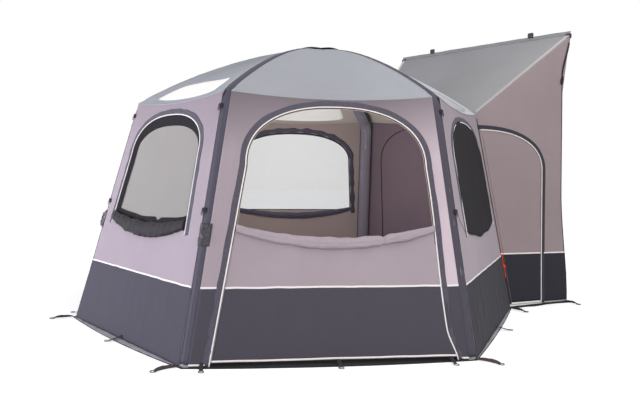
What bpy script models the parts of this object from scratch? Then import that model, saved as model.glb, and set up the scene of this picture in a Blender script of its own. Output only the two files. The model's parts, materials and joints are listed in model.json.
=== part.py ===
"""Inflatable caravan awning.

A six-sided room stands on six air beams. Each beam is a leg at a corner and a rib of the roof in
one, and the six meet at the crown. A short tunnel widens and climbs from the rear wall to the rail
on the caravan's side.

Metres, +Z up. The ground is z = 0, the origin is the middle of the floor, and +Y points to the
caravan. Left and right are as seen from outside, facing the caravan.
"""
import math

import bpy
import bmesh
from mathutils import Matrix, Vector

# Walls, in order round the room: name, azimuth of the outward normal in degrees,
# distance of the wall from the middle at the ground, and the same at the eaves.
# A corner lies between a wall and the next one.
WALLS = (
    ("front", -90.0, 1.751, 1.293),
    ("right_front", -31.2, 1.725, 1.291),
    ("right_rear", 28.0, 1.725, 1.361),
    ("inner", 90.0, 1.727, 1.495),
    ("left_rear", 152.0, 1.725, 1.361),
    ("left_front", 211.2, 1.725, 1.291),
)
CORNERS = ("front_right", "right", "rear_right", "rear_left", "left", "front_left")
EAVES_HEIGHT = 1.84
MUD_WALL_HEIGHT = 0.50
EAVES_SAG = 0.045

# Fabrics and the clearance that touching pieces keep
GAP = 0.0003
WALL_FABRIC = 0.002
MUD_FABRIC = 0.003
BAND_INSET = 0.001
ROOF_FABRIC = 0.002
GROUND_FABRIC = 0.003
CLEAR_SHEET = 0.001
ZIP_GAP = 0.0006
OVERRUN = 0.05
CUTTER_DEPTH = 0.4
WELD = 0.00003

# Air beams
SLEEVE_RADIUS = 0.068
SLEEVE_FABRIC = 0.0015
BLADDER_FABRIC = 0.0015
BEAM_SIDES = 12
KNEE_HEIGHT = 1.806
KNEE_REACH = 0.07
KNEE_SHARES = (0.0, 0.25, 0.5, 0.75, 1.0)
CROWN_SHIFT = 0.138
CROWN_HEIGHT = 2.386
RIDGE_POWER = 1.7
RIDGE_SHARES = (0.78, 0.64, 0.5, 0.36, 0.24)
SLEEVE_END = 0.165
BLADDER_END = 0.06
HUB_RADIUS = 0.115
HUB_SINK = 0.008
CROWN_CAP_RADIUS = 0.21
CROWN_CAP_FABRIC = 0.002

# Roof panels and skylights, in shares across a panel and from the eaves to the crown
ROOF_EDGE_GAP = 0.0015
ROOF_DROOP = 0.03
ROOF_FADE_POWER = 4
ROOF_COLUMNS = 12
SKYLIGHT_WALLS = ("front", "right_rear", "left_rear")
SKYLIGHT_COLUMNS = (2, 10)
SKYLIGHT_ROWS = (1, 3)
SKYLIGHT_GAP = 0.0006

# Openings in the walls. Widths are half widths, and "lean" is how far the middle is to the right
# at the bottom and at the spring line of the arch.
WINDOWS = {
    "front": dict(sill=0.88, spring=1.45, top=1.755, half_low=0.62, half_high=0.55, lean=(-0.02, -0.02)),
    "right_rear": dict(sill=0.85, spring=1.40, top=1.735, half_low=0.68, half_high=0.64, lean=(0.15, 0.14)),
    "left_rear": dict(sill=0.85, spring=1.40, top=1.735, half_low=0.68, half_high=0.64, lean=(-0.15, -0.14)),
}
DOORS = {
    "right_front": dict(sill=0.0, spring=1.35, top=1.784, half_low=0.84, half_high=0.64, lean=(0.01, 0.05)),
    "left_front": dict(sill=0.0, spring=1.35, top=1.784, half_low=0.84, half_high=0.64, lean=(-0.01, -0.05)),
    "inner": dict(sill=0.0, spring=1.35, top=1.76, half_low=0.68, half_high=0.59, lean=(0.0, 0.0)),
}
INSIDE_COVERS = ("left_rear",)
CLOSED_COVERS = ("right_rear",)
COVER_LAP = 0.012
ARCH_POWER = 2.35
ARCH_STEPS = 20
LEAF_LIFT = 0.03

# Rolled covers: the upper half of the open door, and the covers of the windows
DOOR_ROLL = dict(depth=0.026, height=0.042, sag=0.104, level=0.912, end_share=0.6)
WINDOW_ROLL = dict(depth=0.020, height=0.060, sag=0.080, level=0.920, end_share=0.6)
ROLL_SIDE_CLEARANCE = 0.03
ROLL_STEPS = 14
ROLL_SIDES = 10
ROLL_FOLDS = 5
ROLL_FOLD_SHARE = 0.07
ROLL_TWIST_TURNS = 1.5
ROLL_FULL_POWER = 0.7

# Zip sliders
SLIDER_BODY = (0.011, 0.016, 0.006)
SLIDER_PULL = (0.007, 0.045, 0.002)
SLIDER_EDGE = 0.0005
SLIDER_LAP = 0.0056
SLIDER_OFFSET = 0.012
SLIDER_REST = 0.10

# Tunnel to the caravan
TUNNEL_DEPTH = 2.463
RAIL_HEIGHT = 2.683
RAIL_HALF = 1.143
TUNNEL_FOOT_HALF = 1.188
TUNNEL_ROWS = 10
TUNNEL_ROOF_GAP = 0.0011
TUNNEL_EDGE_CLEARANCE = 0.002
TUNNEL_DOOR = dict(reach=0.405, spring=1.30, top=1.69, strip=0.03, lift=0.03)
TUNNEL_ROOF_SAG = 0.02
RAIL_STRIP = (0.003, 0.035)
RAIL_BEAD_RADIUS = 0.00375
BEAD_SIDES = 12
SEARCH_STEPS = 30
PROBE_SHARE = 0.005

# Groundsheet, with its flap outside the walls
GROUND_BOW = 0.075
GROUND_CORNER = 0.012
BOW_STEPS = 8

# Peg straps: azimuth of each, in degrees
STRAP_AZIMUTHS = {
    "front_right": -89.0,
    "right": 11.0,
    "rear_right": -3.0,
    "rear_left": 183.0,
    "left": 169.0,
    "front_left": -104.0,
}
STRAP = dict(width=0.025, length=0.15, thickness=0.002, ring=0.024, hole=0.013, neck=0.01)
STRAP_FACING_SHARE = 0.3
STRAP_END_SHARES = (-1.0, -0.5, 0.0, 0.5, 1.0)
RING_STEPS = 16
RING_OPEN_ANGLE = 30.0

# Valves on two front legs, and their cover flaps
VALVE_CORNERS = ("front_right", "front_left")
VALVE_HEIGHT = 0.82
VALVE = dict(radius=0.021, length=0.020, seat=0.0006, hole_clearance=0.0015, rim=0.0025, cap=0.016)
COVER = dict(half_width=0.046, height=0.155, bulge=0.024, thickness=0.002, top=0.905)
LEG_FACE_SHARE = 0.8
COVER_DOME_POWER = 4
COVER_ROWS = 6
COVER_COLUMNS = 6

# Guyline at the rear right corner
GUY = dict(height=0.50, radius=0.002, stand_off=0.010, drop=0.235, azimuth_from_corner=-17.0)
GUY_BEND = 0.012
GUY_BEND_SHARES = (0.33, 0.5, 0.67, 0.83, 1.0)
GUY_RUNS = 28
GUY_SIDES = 8
RUNNER = dict(width=0.013, length=0.032, thickness=0.009, hole_radius=0.0026, edge=0.002)
RUNNER_DROP = 0.12

COLORS = {
    "wall": (0.45, 0.39, 0.48), "mud": (0.10, 0.09, 0.11), "roof": (0.42, 0.47, 0.53),
    "beam": (0.10, 0.095, 0.12), "bladder": (0.55, 0.58, 0.60), "skylight": (0.80, 0.79, 0.74),
    "pane": (0.42, 0.42, 0.43), "dark": (0.05, 0.048, 0.055), "ground": (0.06, 0.07, 0.07),
    "webbing": (0.07, 0.06, 0.065), "plastic": (0.03, 0.03, 0.03), "orange": (0.87, 0.10, 0.01),
}
ROUGHNESS = {"fabric": 0.75, "sheet": 0.25, "plastic": 0.45}
SMOOTH_ANGLE = 35.0
ROUND_SIDES = 24

for old in list(bpy.data.objects):
    bpy.data.objects.remove(old, do_unlink=True)

awning = bpy.data.collections.new("caravan_awning")
cutters = bpy.data.collections.new("cutters")
bpy.context.scene.collection.children.link(awning)
bpy.context.scene.collection.children.link(cutters)


class Wall:
    """One leaning wall plane, with x to the right, y up the slope and its normal outward."""

    def __init__(self, name, azimuth, ground, eaves):
        angle = math.radians(azimuth)
        outward = Vector((math.cos(angle), math.sin(angle), 0))
        self.name = name
        self.origin = outward * ground
        self.right = Vector((-math.sin(angle), math.cos(angle), 0))
        rise = outward * (eaves - ground) + Vector((0, 0, EAVES_HEIGHT))
        self.slope_length = rise.length
        self.up = rise.normalized()
        self.normal = self.right.cross(self.up)

    def at(self, x, y, out=0.0):
        return self.origin + self.right * x + self.up * y + self.normal * out

    def local(self, point):
        offset = point - self.origin
        return offset.dot(self.right), offset.dot(self.up)

    def matrix(self, out):
        axes = Matrix((self.right, self.up, self.normal)).transposed().to_4x4()
        return Matrix.Translation(self.origin + self.normal * out) @ axes


walls = [Wall(*values) for values in WALLS]
by_name = {wall.name: wall for wall in walls}


def wall_right_of(corner):
    return walls[(corner + 1) % len(walls)]


def meet(corner, height, inset=0.0):
    """Point at a height where the two walls of a corner meet, both moved in by the inset."""
    pair = (walls[corner], wall_right_of(corner))
    rows = [(w.normal.x, w.normal.y) for w in pair]
    sums = [w.normal.dot(w.origin) - inset - w.normal.z * height for w in pair]
    det = rows[0][0] * rows[1][1] - rows[0][1] * rows[1][0]
    x = (sums[0] * rows[1][1] - sums[1] * rows[0][1]) / det
    y = (rows[0][0] * sums[1] - rows[1][0] * sums[0]) / det
    return Vector((x, y, height))


CROWN = Vector((0, CROWN_SHIFT, CROWN_HEIGHT - SLEEVE_RADIUS))


def ridge_point(knee, share):
    """Middle of a roof rib: straight in plan, and a power curve in height."""
    point = CROWN.lerp(knee, share)
    point.z = CROWN.z - (CROWN.z - knee.z) * share ** RIDGE_POWER
    return point


def beam_path(corner, ends):
    """Middle line of a beam from below the ground, past one or more distances from the crown."""
    inset = SLEEVE_RADIUS + GAP
    foot = meet(corner, -OVERRUN, inset)
    knee = meet(corner, KNEE_HEIGHT, inset)
    leg = (knee - foot).normalized()
    span = (knee - CROWN).length
    low = knee - leg * KNEE_REACH
    high = ridge_point(knee, 1 - KNEE_REACH / span)
    points = [foot]
    for share in KNEE_SHARES:
        points.append(low.lerp(knee, share).lerp(knee.lerp(high, share), share))
    points += [ridge_point(knee, share) for share in RIDGE_SHARES]
    points += [ridge_point(knee, end / span) for end in ends]
    return points


def beam_edge(path, index, side, radius):
    """Point of a beam's surface one twelfth of a turn from its outer line, at a path point."""
    before = path[max(index - 1, 0)]
    after = path[min(index + 1, len(path) - 1)]
    tangent = (after - before).normalized()
    across = tangent.cross(Vector((0, 0, 1))).normalized()
    outer = across.cross(tangent)
    angle = math.tau / BEAM_SIDES
    return path[index] + outer * radius * math.cos(angle) + across * radius * math.sin(angle) * side


def finish(obj, color, roughness="fabric", group=awning):
    """Link an object, give it its own material, and shade it smooth over soft edges."""
    group.objects.link(obj)
    material = bpy.data.materials.new(obj.name)
    material.use_nodes = True
    shader = material.node_tree.nodes["Principled BSDF"]
    shader.inputs["Base Color"].default_value = (*COLORS[color], 1)
    shader.inputs["Roughness"].default_value = ROUGHNESS[roughness]
    obj.data.materials.append(material)
    if obj.type == "MESH":
        obj.data.shade_smooth()
        obj.data.set_sharp_from_angle(angle=math.radians(SMOOTH_ANGLE))
    return obj


def as_cutter(obj):
    obj.hide_render = True
    obj.display_type = "WIRE"
    cutters.objects.link(obj)
    return obj


def outline(name, loops, thickness, matrix):
    """Flat piece from closed loops of points, the first one outside and the others holes."""
    curve = bpy.data.curves.new(name, "CURVE")
    curve.dimensions = "2D"
    curve.fill_mode = "BOTH"
    curve.extrude = thickness / 2
    for loop in loops:
        spline = curve.splines.new("POLY")
        spline.points.add(len(loop) - 1)
        for point, (x, y) in zip(spline.points, loop):
            point.co = (x, y, 0, 1)
        spline.use_cyclic_u = True
    obj = bpy.data.objects.new(name, curve)
    obj.matrix_world = matrix
    return obj


def tube(name, points, radius, sides=BEAM_SIDES, caps=True, radii=None):
    """Round tube along a list of points."""
    curve = bpy.data.curves.new(name, "CURVE")
    curve.dimensions = "3D"
    curve.twist_mode = "Z_UP"
    curve.bevel_depth = radius
    curve.bevel_resolution = sides // 2 - 2
    curve.use_fill_caps = caps
    spline = curve.splines.new("POLY")
    spline.points.add(len(points) - 1)
    for index, point in enumerate(points):
        spline.points[index].co = (*point, 1)
        spline.points[index].radius = radii[index] if radii else 1
    return bpy.data.objects.new(name, curve)


def as_mesh(obj):
    """The same piece as a mesh, with its loose caps welded and its quads split alike."""
    bpy.context.scene.collection.objects.link(obj)
    evaluated = obj.evaluated_get(bpy.context.evaluated_depsgraph_get())
    mesh = bpy.data.meshes.new_from_object(evaluated)
    made = bpy.data.objects.new(obj.name, mesh)
    made.matrix_world = obj.matrix_world.copy()
    work = bmesh.new()
    work.from_mesh(mesh)
    bmesh.ops.remove_doubles(work, verts=work.verts, dist=WELD)
    bmesh.ops.recalc_face_normals(work, faces=work.faces)
    bmesh.ops.triangulate(work, faces=work.faces, quad_method="FIXED")
    work.to_mesh(mesh)
    work.free()
    name = obj.name
    bpy.data.objects.remove(obj, do_unlink=True)
    made.name = name
    return made


def block(name, size, matrix=Matrix()):
    """Box with its middle at the matrix's place."""
    mesh = bpy.data.meshes.new(name)
    work = bmesh.new()
    bmesh.ops.create_cube(work, size=1, matrix=Matrix.Diagonal((*size, 1)))
    work.to_mesh(mesh)
    work.free()
    obj = bpy.data.objects.new(name, mesh)
    obj.matrix_world = matrix
    return obj


def cylinder(name, radius, depth, matrix, sides=ROUND_SIDES):
    """Round bar along its own z, with its middle at the matrix's place."""
    mesh = bpy.data.meshes.new(name)
    work = bmesh.new()
    bmesh.ops.create_cone(work, cap_ends=True, segments=sides, radius1=radius, radius2=radius, depth=depth)
    work.to_mesh(mesh)
    work.free()
    obj = bpy.data.objects.new(name, mesh)
    obj.matrix_world = matrix
    return obj


def boolean(obj, cutter, operation="DIFFERENCE"):
    step = obj.modifiers.new(operation.lower(), "BOOLEAN")
    step.operation = operation
    step.solver = "EXACT"
    step.object = cutter


def grid_mesh(name, rows, holes=()):
    """Open surface through rows of points, without the cells listed as holes."""
    width = len(rows[0])
    points = [point for row in rows for point in row]
    faces = []
    for j in range(len(rows) - 1):
        for i in range(width - 1):
            if (i, j) not in holes:
                a = j * width + i
                faces.append((a, a + 1, a + 1 + width, a + width))
    mesh = bpy.data.meshes.new(name)
    mesh.from_pydata(points, [], faces)
    return bpy.data.objects.new(name, mesh)


def thicken(obj, thickness, offset=1.0):
    step = obj.modifiers.new("thickness", "SOLIDIFY")
    step.thickness = thickness
    step.offset = offset
    step.use_even_offset = True
    return obj


def joint_frame(name, place):
    """Empty on a joint's axis that carries the pieces that move with it."""
    empty = bpy.data.objects.new(name, None)
    awning.objects.link(empty)
    empty.location = place
    return empty


def carry(empty, *pieces):
    for piece in pieces:
        piece.parent = empty
        piece.matrix_parent_inverse = Matrix.Translation(-empty.location)


def side_line(shape, side, y, inset=0.0):
    """Place across of an opening's straight side at a height, moved in by the inset."""
    share = (y - shape["sill"]) / (shape["spring"] - shape["sill"])
    half = shape["half_low"] + (shape["half_high"] - shape["half_low"]) * share - inset
    return shape["lean"][0] + (shape["lean"][1] - shape["lean"][0]) * share + side * half


def arch(shape, inset=0.0, bottom=None):
    """Arched opening: leaning straight sides, and a rounded top from the spring line up."""
    low = shape["sill"] + inset if bottom is None else bottom
    rise = shape["top"] - shape["spring"] - inset
    radius = shape["half_high"] - inset
    points = [(side_line(shape, 1, low, inset), low)]
    for step in range(ARCH_STEPS + 1):
        angle = math.pi * step / ARCH_STEPS
        cosine = math.cos(angle)
        x = math.copysign(abs(cosine) ** (2 / ARCH_POWER), cosine)
        y = math.sin(angle) ** (2 / ARCH_POWER)
        points.append((shape["lean"][1] + radius * x, shape["spring"] + rise * y))
    points.append((side_line(shape, -1, low, inset), low))
    return points


paths = [beam_path(corner, (SLEEVE_END,)) for corner in range(len(CORNERS))]


def wall_edge(wall, side):
    """Bottom and top corner of a wall panel beside a leg, in the wall's own x and y."""
    corner = walls.index(wall) if side > 0 else walls.index(wall) - 1
    path = paths[corner]
    low = wall.local(beam_edge(path, 0, -side, SLEEVE_RADIUS))
    high = wall.local(beam_edge(path, 1, -side, SLEEVE_RADIUS))

    def at(y):
        share = (y - low[1]) / (high[1] - low[1])
        return low[0] + (high[0] - low[0]) * share

    return at


def seam_height(wall, x):
    """Height up the slope of the seam between a wall and the roof, which sags in the middle."""
    left = wall_edge(wall, -1)(wall.slope_length)
    right = wall_edge(wall, 1)(wall.slope_length)
    share = (x - left) / (right - left)
    return wall.slope_length - EAVES_SAG * 4 * share * (1 - share)


def wall_outline(wall, door=None):
    """Closed outline of a wall panel, round its door where it has one."""
    floor = (GROUND_FABRIC + GAP) / wall.up.z
    left = wall_edge(wall, -1)
    right = wall_edge(wall, 1)
    points = [(left(floor), floor)]
    start = left(wall.slope_length)
    end = right(wall.slope_length)
    for step in range(ROOF_COLUMNS + 1):
        x = start + (end - start) * step / ROOF_COLUMNS
        points.append((x, seam_height(wall, x)))
    points.append((right(floor), floor))
    if door:
        points += arch(door, bottom=floor)
    return points


def mud_band(wall, door=None):
    """Heavier band at the bottom of a wall, in one piece or one at each side of a door."""
    top = MUD_WALL_HEIGHT / wall.up.z
    floor = (GROUND_FABRIC + GAP) / wall.up.z + BAND_INSET
    left = wall_edge(wall, -1)
    right = wall_edge(wall, 1)
    ends = [(left(y) + BAND_INSET, y) for y in (floor, top)]
    ends += [(right(y) - BAND_INSET, y) for y in (top, floor)]
    if door is None:
        return [ends]
    jambs = [(side_line(door, -1, y) - BAND_INSET, y) for y in (top, floor)]
    jambs += [(side_line(door, 1, y) + BAND_INSET, y) for y in (floor, top)]
    return [ends[:2] + jambs[:2], jambs[2:] + ends[2:]]


def make_wall(wall):
    window = WINDOWS.get(wall.name)
    door = DOORS.get(wall.name)
    name = "wall_" + wall.name
    loops = [wall_outline(wall, door)]
    if window:
        loops.append(arch(window))
    panel = as_mesh(outline(name, loops, WALL_FABRIC, wall.matrix(WALL_FABRIC / 2)))
    for index, loop in enumerate(mud_band(wall, door)):
        depth = MUD_FABRIC - WALL_FABRIC / 2
        middle = wall.matrix(MUD_FABRIC - depth / 2)
        band = as_mesh(outline(f"{name}_band_{index}", [loop], depth, middle))
        boolean(panel, as_cutter(band), "UNION")
    return finish(panel, "wall")


def roof_rows(wall):
    """Rows of points of a roof panel's underside, from the seam at the eaves to the crown."""
    left_corner = walls.index(wall) - 1
    right_corner = walls.index(wall)
    start = wall_edge(wall, -1)(wall.slope_length)
    end = wall_edge(wall, 1)(wall.slope_length)
    radius = SLEEVE_RADIUS + ROOF_EDGE_GAP
    rows = []
    first = []
    for step in range(ROOF_COLUMNS + 1):
        x = start + (end - start) * step / ROOF_COLUMNS
        first.append(wall.at(x, seam_height(wall, x), WALL_FABRIC) + Vector((0, 0, GAP)))
    rows.append(first)
    knee_end = len(KNEE_SHARES)
    last = len(paths[0]) - 1
    for index in range(knee_end - 1, last + 1):
        left = beam_edge(paths[left_corner], index, 1, radius)
        right = beam_edge(paths[right_corner], index, -1, radius)
        travel = (index - knee_end + 1) / (last - knee_end + 1)
        droop = ROOF_DROOP * math.sin(math.pi * travel) + EAVES_SAG * (1 - travel) ** ROOF_FADE_POWER
        row = []
        for step in range(ROOF_COLUMNS + 1):
            share = step / ROOF_COLUMNS
            sag = Vector((0, 0, droop * 4 * share * (1 - share)))
            row.append(left.lerp(right, share) - sag)
        rows.append(row)
    return rows


def shrink_patch(rows, gap):
    """The same patch of points with its border moved in by a gap."""
    out = [list(row) for row in rows]
    for row, source in zip(out, rows):
        row[0] = source[0] + (source[1] - source[0]).normalized() * gap
        row[-1] = source[-1] + (source[-2] - source[-1]).normalized() * gap
    columns = range(len(rows[0]))
    first = [out[0][i] + (out[1][i] - out[0][i]).normalized() * gap for i in columns]
    last = [out[-1][i] + (out[-2][i] - out[-1][i]).normalized() * gap for i in columns]
    return [first] + out[1:-1] + [last]


def make_roof(wall):
    rows = roof_rows(wall)
    holes = set()
    if wall.name in SKYLIGHT_WALLS:
        low, high = SKYLIGHT_ROWS
        start, end = SKYLIGHT_COLUMNS
        holes = {(i, j) for i in range(start, end) for j in range(low, high)}
        patch = [row[start:end + 1] for row in rows[low:high + 1]]
        light = grid_mesh("skylight_" + wall.name, shrink_patch(patch, SKYLIGHT_GAP))
        finish(thicken(light, CLEAR_SHEET), "skylight", "sheet")
    panel = grid_mesh("roof_" + wall.name, rows, holes)
    return finish(thicken(panel, ROOF_FABRIC), "roof")


def ground_cutter(level):
    """Block under a level that cuts a beam's foot off flat."""
    side = 2 * (TUNNEL_DEPTH + OVERRUN)
    middle = Matrix.Translation((0, 0, level - side / 2))
    return as_cutter(block("ground_cutter", (side, side, side), middle))


def corner_out(corner):
    """Outward direction square to a leg, halfway between its two walls."""
    return (walls[corner].normal + wall_right_of(corner).normal).normalized()


def leg_point(corner, height, out):
    """Point beside a leg at a height, a distance out from its middle line."""
    foot = meet(corner, 0, SLEEVE_RADIUS + GAP)
    top = meet(corner, KNEE_HEIGHT, SLEEVE_RADIUS + GAP)
    return foot.lerp(top, height / KNEE_HEIGHT) + corner_out(corner) * out


def leg_matrix(corner, place):
    """Axes at a leg: x across to the right, y up the leg and z outward."""
    out = corner_out(corner)
    up = (leg_point(corner, KNEE_HEIGHT, 0) - leg_point(corner, 0, 0)).normalized()
    across = up.cross(out)
    axes = Matrix((across, up, out)).transposed().to_4x4()
    return Matrix.Translation(place) @ axes


def make_sleeve(corner, ground):
    name = "beam_sleeve_" + CORNERS[corner]
    sleeve = as_mesh(tube(name, paths[corner], SLEEVE_RADIUS, caps=False))
    thicken(sleeve, SLEEVE_FABRIC, -1.0)
    boolean(sleeve, ground)
    if CORNERS[corner] in VALVE_CORNERS:
        radius = VALVE["radius"] + VALVE["hole_clearance"]
        place = leg_matrix(corner, leg_point(corner, VALVE_HEIGHT, SLEEVE_RADIUS))
        hole = cylinder(name + "_valve_hole", radius, SLEEVE_RADIUS, place)
        boolean(sleeve, as_cutter(hole))
    return finish(sleeve, "beam")


def bladder_body(name, radius, end, hub_radius, hub_height):
    """Six tubes joined to a hub at the crown, as one closed body."""
    hub = cylinder(name, hub_radius, hub_height, Matrix.Translation(CROWN), 2 * BEAM_SIDES)
    for corner in range(len(CORNERS)):
        path = beam_path(corner, (SLEEVE_END, end))
        arm = as_mesh(tube(f"{name}_arm_{corner}", path, radius))
        boolean(hub, as_cutter(arm), "UNION")
    return hub


def make_air_frame(ground):
    """Bladder of the six beams in one piece, hollow, and open at its two valves."""
    outer = SLEEVE_RADIUS - SLEEVE_FABRIC - GAP / math.cos(math.pi / BEAM_SIDES)
    inner = outer - BLADDER_FABRIC
    frame = bladder_body("air_frame", outer, BLADDER_END, HUB_RADIUS, 2 * (outer - HUB_SINK))
    boolean(frame, ground)
    end = BLADDER_END + BLADDER_FABRIC
    radius = HUB_RADIUS - BLADDER_FABRIC
    hollow = bladder_body("air_frame_hollow", inner, end, radius, 2 * (inner - HUB_SINK))
    boolean(hollow, ground_cutter(GROUND_FABRIC + GAP + BLADDER_FABRIC))
    boolean(frame, as_cutter(hollow))
    for corner, label in enumerate(CORNERS):
        if label in VALVE_CORNERS:
            radius = VALVE["radius"] - VALVE["rim"] * 2
            place = leg_matrix(corner, leg_point(corner, VALVE_HEIGHT, SLEEVE_RADIUS))
            bore = cylinder("air_frame_bore_" + label, radius, SLEEVE_RADIUS, place)
            boolean(frame, as_cutter(bore))
    return finish(frame, "bladder")


def turned(name, profile, steps, matrix):
    """Turned piece: a profile of (radius, height) points spun about its own z."""
    mesh = bpy.data.meshes.new(name)
    points = [(radius, 0, height) for radius, height in profile]
    mesh.from_pydata(points, [(i, i + 1) for i in range(len(points) - 1)], [])
    obj = bpy.data.objects.new(name, mesh)
    obj.matrix_world = matrix
    spin = obj.modifiers.new("spin", "SCREW")
    spin.steps = steps
    spin.render_steps = steps
    spin.use_merge_vertices = True
    spin.merge_threshold = WELD
    return obj


def rib_top(distance):
    """Highest top of a rib's sleeve at a level distance from the crown."""
    tops = []
    for path in paths:
        for outer, inner in zip(path, path[1:]):
            far = (outer - CROWN).xy.length
            near = (inner - CROWN).xy.length
            share = (distance - near) / (far - near)
            if 0 <= share <= 1:
                slope = math.atan2(inner.z - outer.z, far - near)
                tops.append(inner.lerp(outer, share).z + SLEEVE_RADIUS / math.cos(slope))
    return max(tops)


def make_crown_cap():
    """Round patch that lies on the six ribs where they meet."""
    steps = 2 * BEAM_SIDES
    near = max((path[-1] - CROWN).xy.length for path in paths)
    level = rib_top(near) + GAP - CROWN.z
    edge = rib_top(CROWN_CAP_RADIUS * math.cos(math.pi / steps)) + GAP - CROWN.z
    under = [(CROWN_CAP_RADIUS, edge), (near, level), (0, SLEEVE_RADIUS + GAP)]
    top = [(radius, height + CROWN_CAP_FABRIC) for radius, height in reversed(under)]
    cap = turned("crown_cap", top + under, steps, Matrix.Translation(CROWN))
    return finish(cap, "roof")


def roll_level(roll, across):
    """Height up the slope of a rolled cover's middle line, from -1 to 1 across its opening."""
    return roll["level"] - roll["sag"] * (1 - across ** 2)


def roll_ring(roll, travel):
    """Section of a rolled cover, flattened and folded, whose lowest point lies at zero."""
    full = roll["end_share"] + (1 - roll["end_share"]) * math.sin(math.pi * travel) ** ROLL_FULL_POWER
    ring = []
    for side in range(ROLL_SIDES):
        angle = math.tau * side / ROLL_SIDES
        turn = ROLL_FOLDS * angle + ROLL_TWIST_TURNS * math.tau * travel
        radius = full * (1 - ROLL_FOLD_SHARE * (1 + math.cos(turn)))
        ring.append((radius * roll["height"] * math.cos(angle), radius * roll["depth"] * math.sin(angle)))
    lowest = min(lift for _, lift in ring)
    return [(rise, lift - lowest) for rise, lift in ring]


def make_roll(name, wall, shape, roll, color, out):
    """Rolled cover that sags between both sides of its opening and lies on its wall."""
    inward = -1 if out < 0 else 1
    low = side_line(shape, -1, roll["level"]) + ROLL_SIDE_CLEARANCE
    high = side_line(shape, 1, roll["level"]) - ROLL_SIDE_CLEARANCE
    work = bmesh.new()
    rings = []
    for step in range(ROLL_STEPS + 1):
        travel = step / ROLL_STEPS
        x = low + (high - low) * travel
        y = roll_level(roll, 2 * travel - 1)
        section = roll_ring(roll, travel)
        rings.append([work.verts.new(wall.at(x, y + rise, out + inward * lift)) for rise, lift in section])
    for first, second in zip(rings, rings[1:]):
        for side in range(ROLL_SIDES):
            other = (side + 1) % ROLL_SIDES
            work.faces.new((first[side], first[other], second[other], second[side]))
    work.faces.new(rings[0])
    work.faces.new(rings[-1])
    bmesh.ops.recalc_face_normals(work, faces=work.faces)
    mesh = bpy.data.meshes.new(name)
    work.to_mesh(mesh)
    work.free()
    return finish(bpy.data.objects.new(name, mesh), color)


def closed_cover(name, wall, shape, roll):
    """Cover zipped up over its window: an arch with a sagging bottom edge, flat on the wall."""
    points = arch(shape, inset=-COVER_LAP)[1:-1]
    for step in range(1, ROLL_STEPS):
        across = 2 * step / ROLL_STEPS - 1
        y = roll_level(roll, across) - roll["height"]
        low = side_line(shape, -1, y)
        high = side_line(shape, 1, y)
        points.append((low + (high - low) * (across + 1) / 2, y))
    place = wall.matrix(WALL_FABRIC + GAP + CLEAR_SHEET / 2)
    return finish(outline(name, [points], CLEAR_SHEET, place), "dark")


def make_windows():
    for label, shape in WINDOWS.items():
        wall = by_name[label]
        loops = [arch(shape, inset=GAP)]
        middle = wall.matrix(WALL_FABRIC / 2)
        finish(outline("window_" + label, loops, CLEAR_SHEET, middle), "pane", "sheet")
        name = "window_cover_" + label
        if label in CLOSED_COVERS:
            closed_cover(name, wall, shape, WINDOW_ROLL)
        else:
            out = -GAP if label in INSIDE_COVERS else WALL_FABRIC + GAP
            make_roll(name, wall, shape, WINDOW_ROLL, "dark", out)


def door_leaf(name, label, roll=None):
    """Door leaf that fills its arch, or only the part of it below a rolled cover."""
    wall = by_name[label]
    shape = DOORS[label]
    loop = arch(shape, inset=ZIP_GAP, bottom=LEAF_LIFT)
    if roll:
        loop = [loop[-1], loop[0]]
        for step in range(ROLL_STEPS + 1):
            across = 1 - 2 * step / ROLL_STEPS
            y = roll_level(roll, across)
            left = side_line(shape, -1, y) + ZIP_GAP
            right = side_line(shape, 1, y) - ZIP_GAP
            loop.append((left + (right - left) * (across + 1) / 2, y))
    return outline(name, [loop], WALL_FABRIC, wall.matrix(WALL_FABRIC / 2))


def make_slider(name, matrix):
    """Zip slider: a body on the teeth and a pull tab that hangs from it."""
    body = block(name, SLIDER_BODY, matrix @ Matrix.Translation((0, 0, SLIDER_BODY[2] / 2)))
    drop = (SLIDER_PULL[1] + SLIDER_BODY[1]) / 2 - SLIDER_LAP
    place = matrix @ Matrix.Translation((0, -drop, SLIDER_PULL[2]))
    pull = block(name + "_pull", SLIDER_PULL, place)
    boolean(body, as_cutter(pull), "UNION")
    edge = body.modifiers.new("edge", "BEVEL")
    edge.width = SLIDER_EDGE
    edge.segments = 1
    return finish(body, "plastic", "plastic")


def wall_slider(name, label, side):
    """Slider on the jamb of a wall's door, at the given side of the arch."""
    wall = by_name[label]
    shape = DOORS[label]
    low = side_line(shape, side, 0)
    high = side_line(shape, side, shape["spring"])
    angle = math.atan2(low - high, shape["spring"])
    x = side_line(shape, side, SLIDER_REST) + side * SLIDER_OFFSET
    place = wall.matrix(MUD_FABRIC + GAP) @ Matrix.Translation((x, SLIDER_REST, 0))
    return make_slider(name, place @ Matrix.Rotation(angle, 4, "Z"))


def make_doors():
    """Three doors: the open one seen in front, its closed twin, and the one to the tunnel."""
    for label, name, side, roll in (
        ("right_front", "right_door", 1, DOOR_ROLL),
        ("left_front", "left_door", -1, None),
        ("inner", "inner_door", 1, None),
    ):
        wall = by_name[label]
        place = wall.at(side_line(DOORS[label], side, 0), 0, WALL_FABRIC)
        pieces = [finish(door_leaf(name + "_leaf", label, roll), "wall")]
        if roll:
            out = WALL_FABRIC + GAP
            pieces.append(make_roll(name + "_roll", wall, DOORS[label], roll, "wall", out))
        carry(joint_frame(name + "_hinge", place), *pieces)
        if label != "inner":
            wall_slider(name + "_slider", label, -side)


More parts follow.
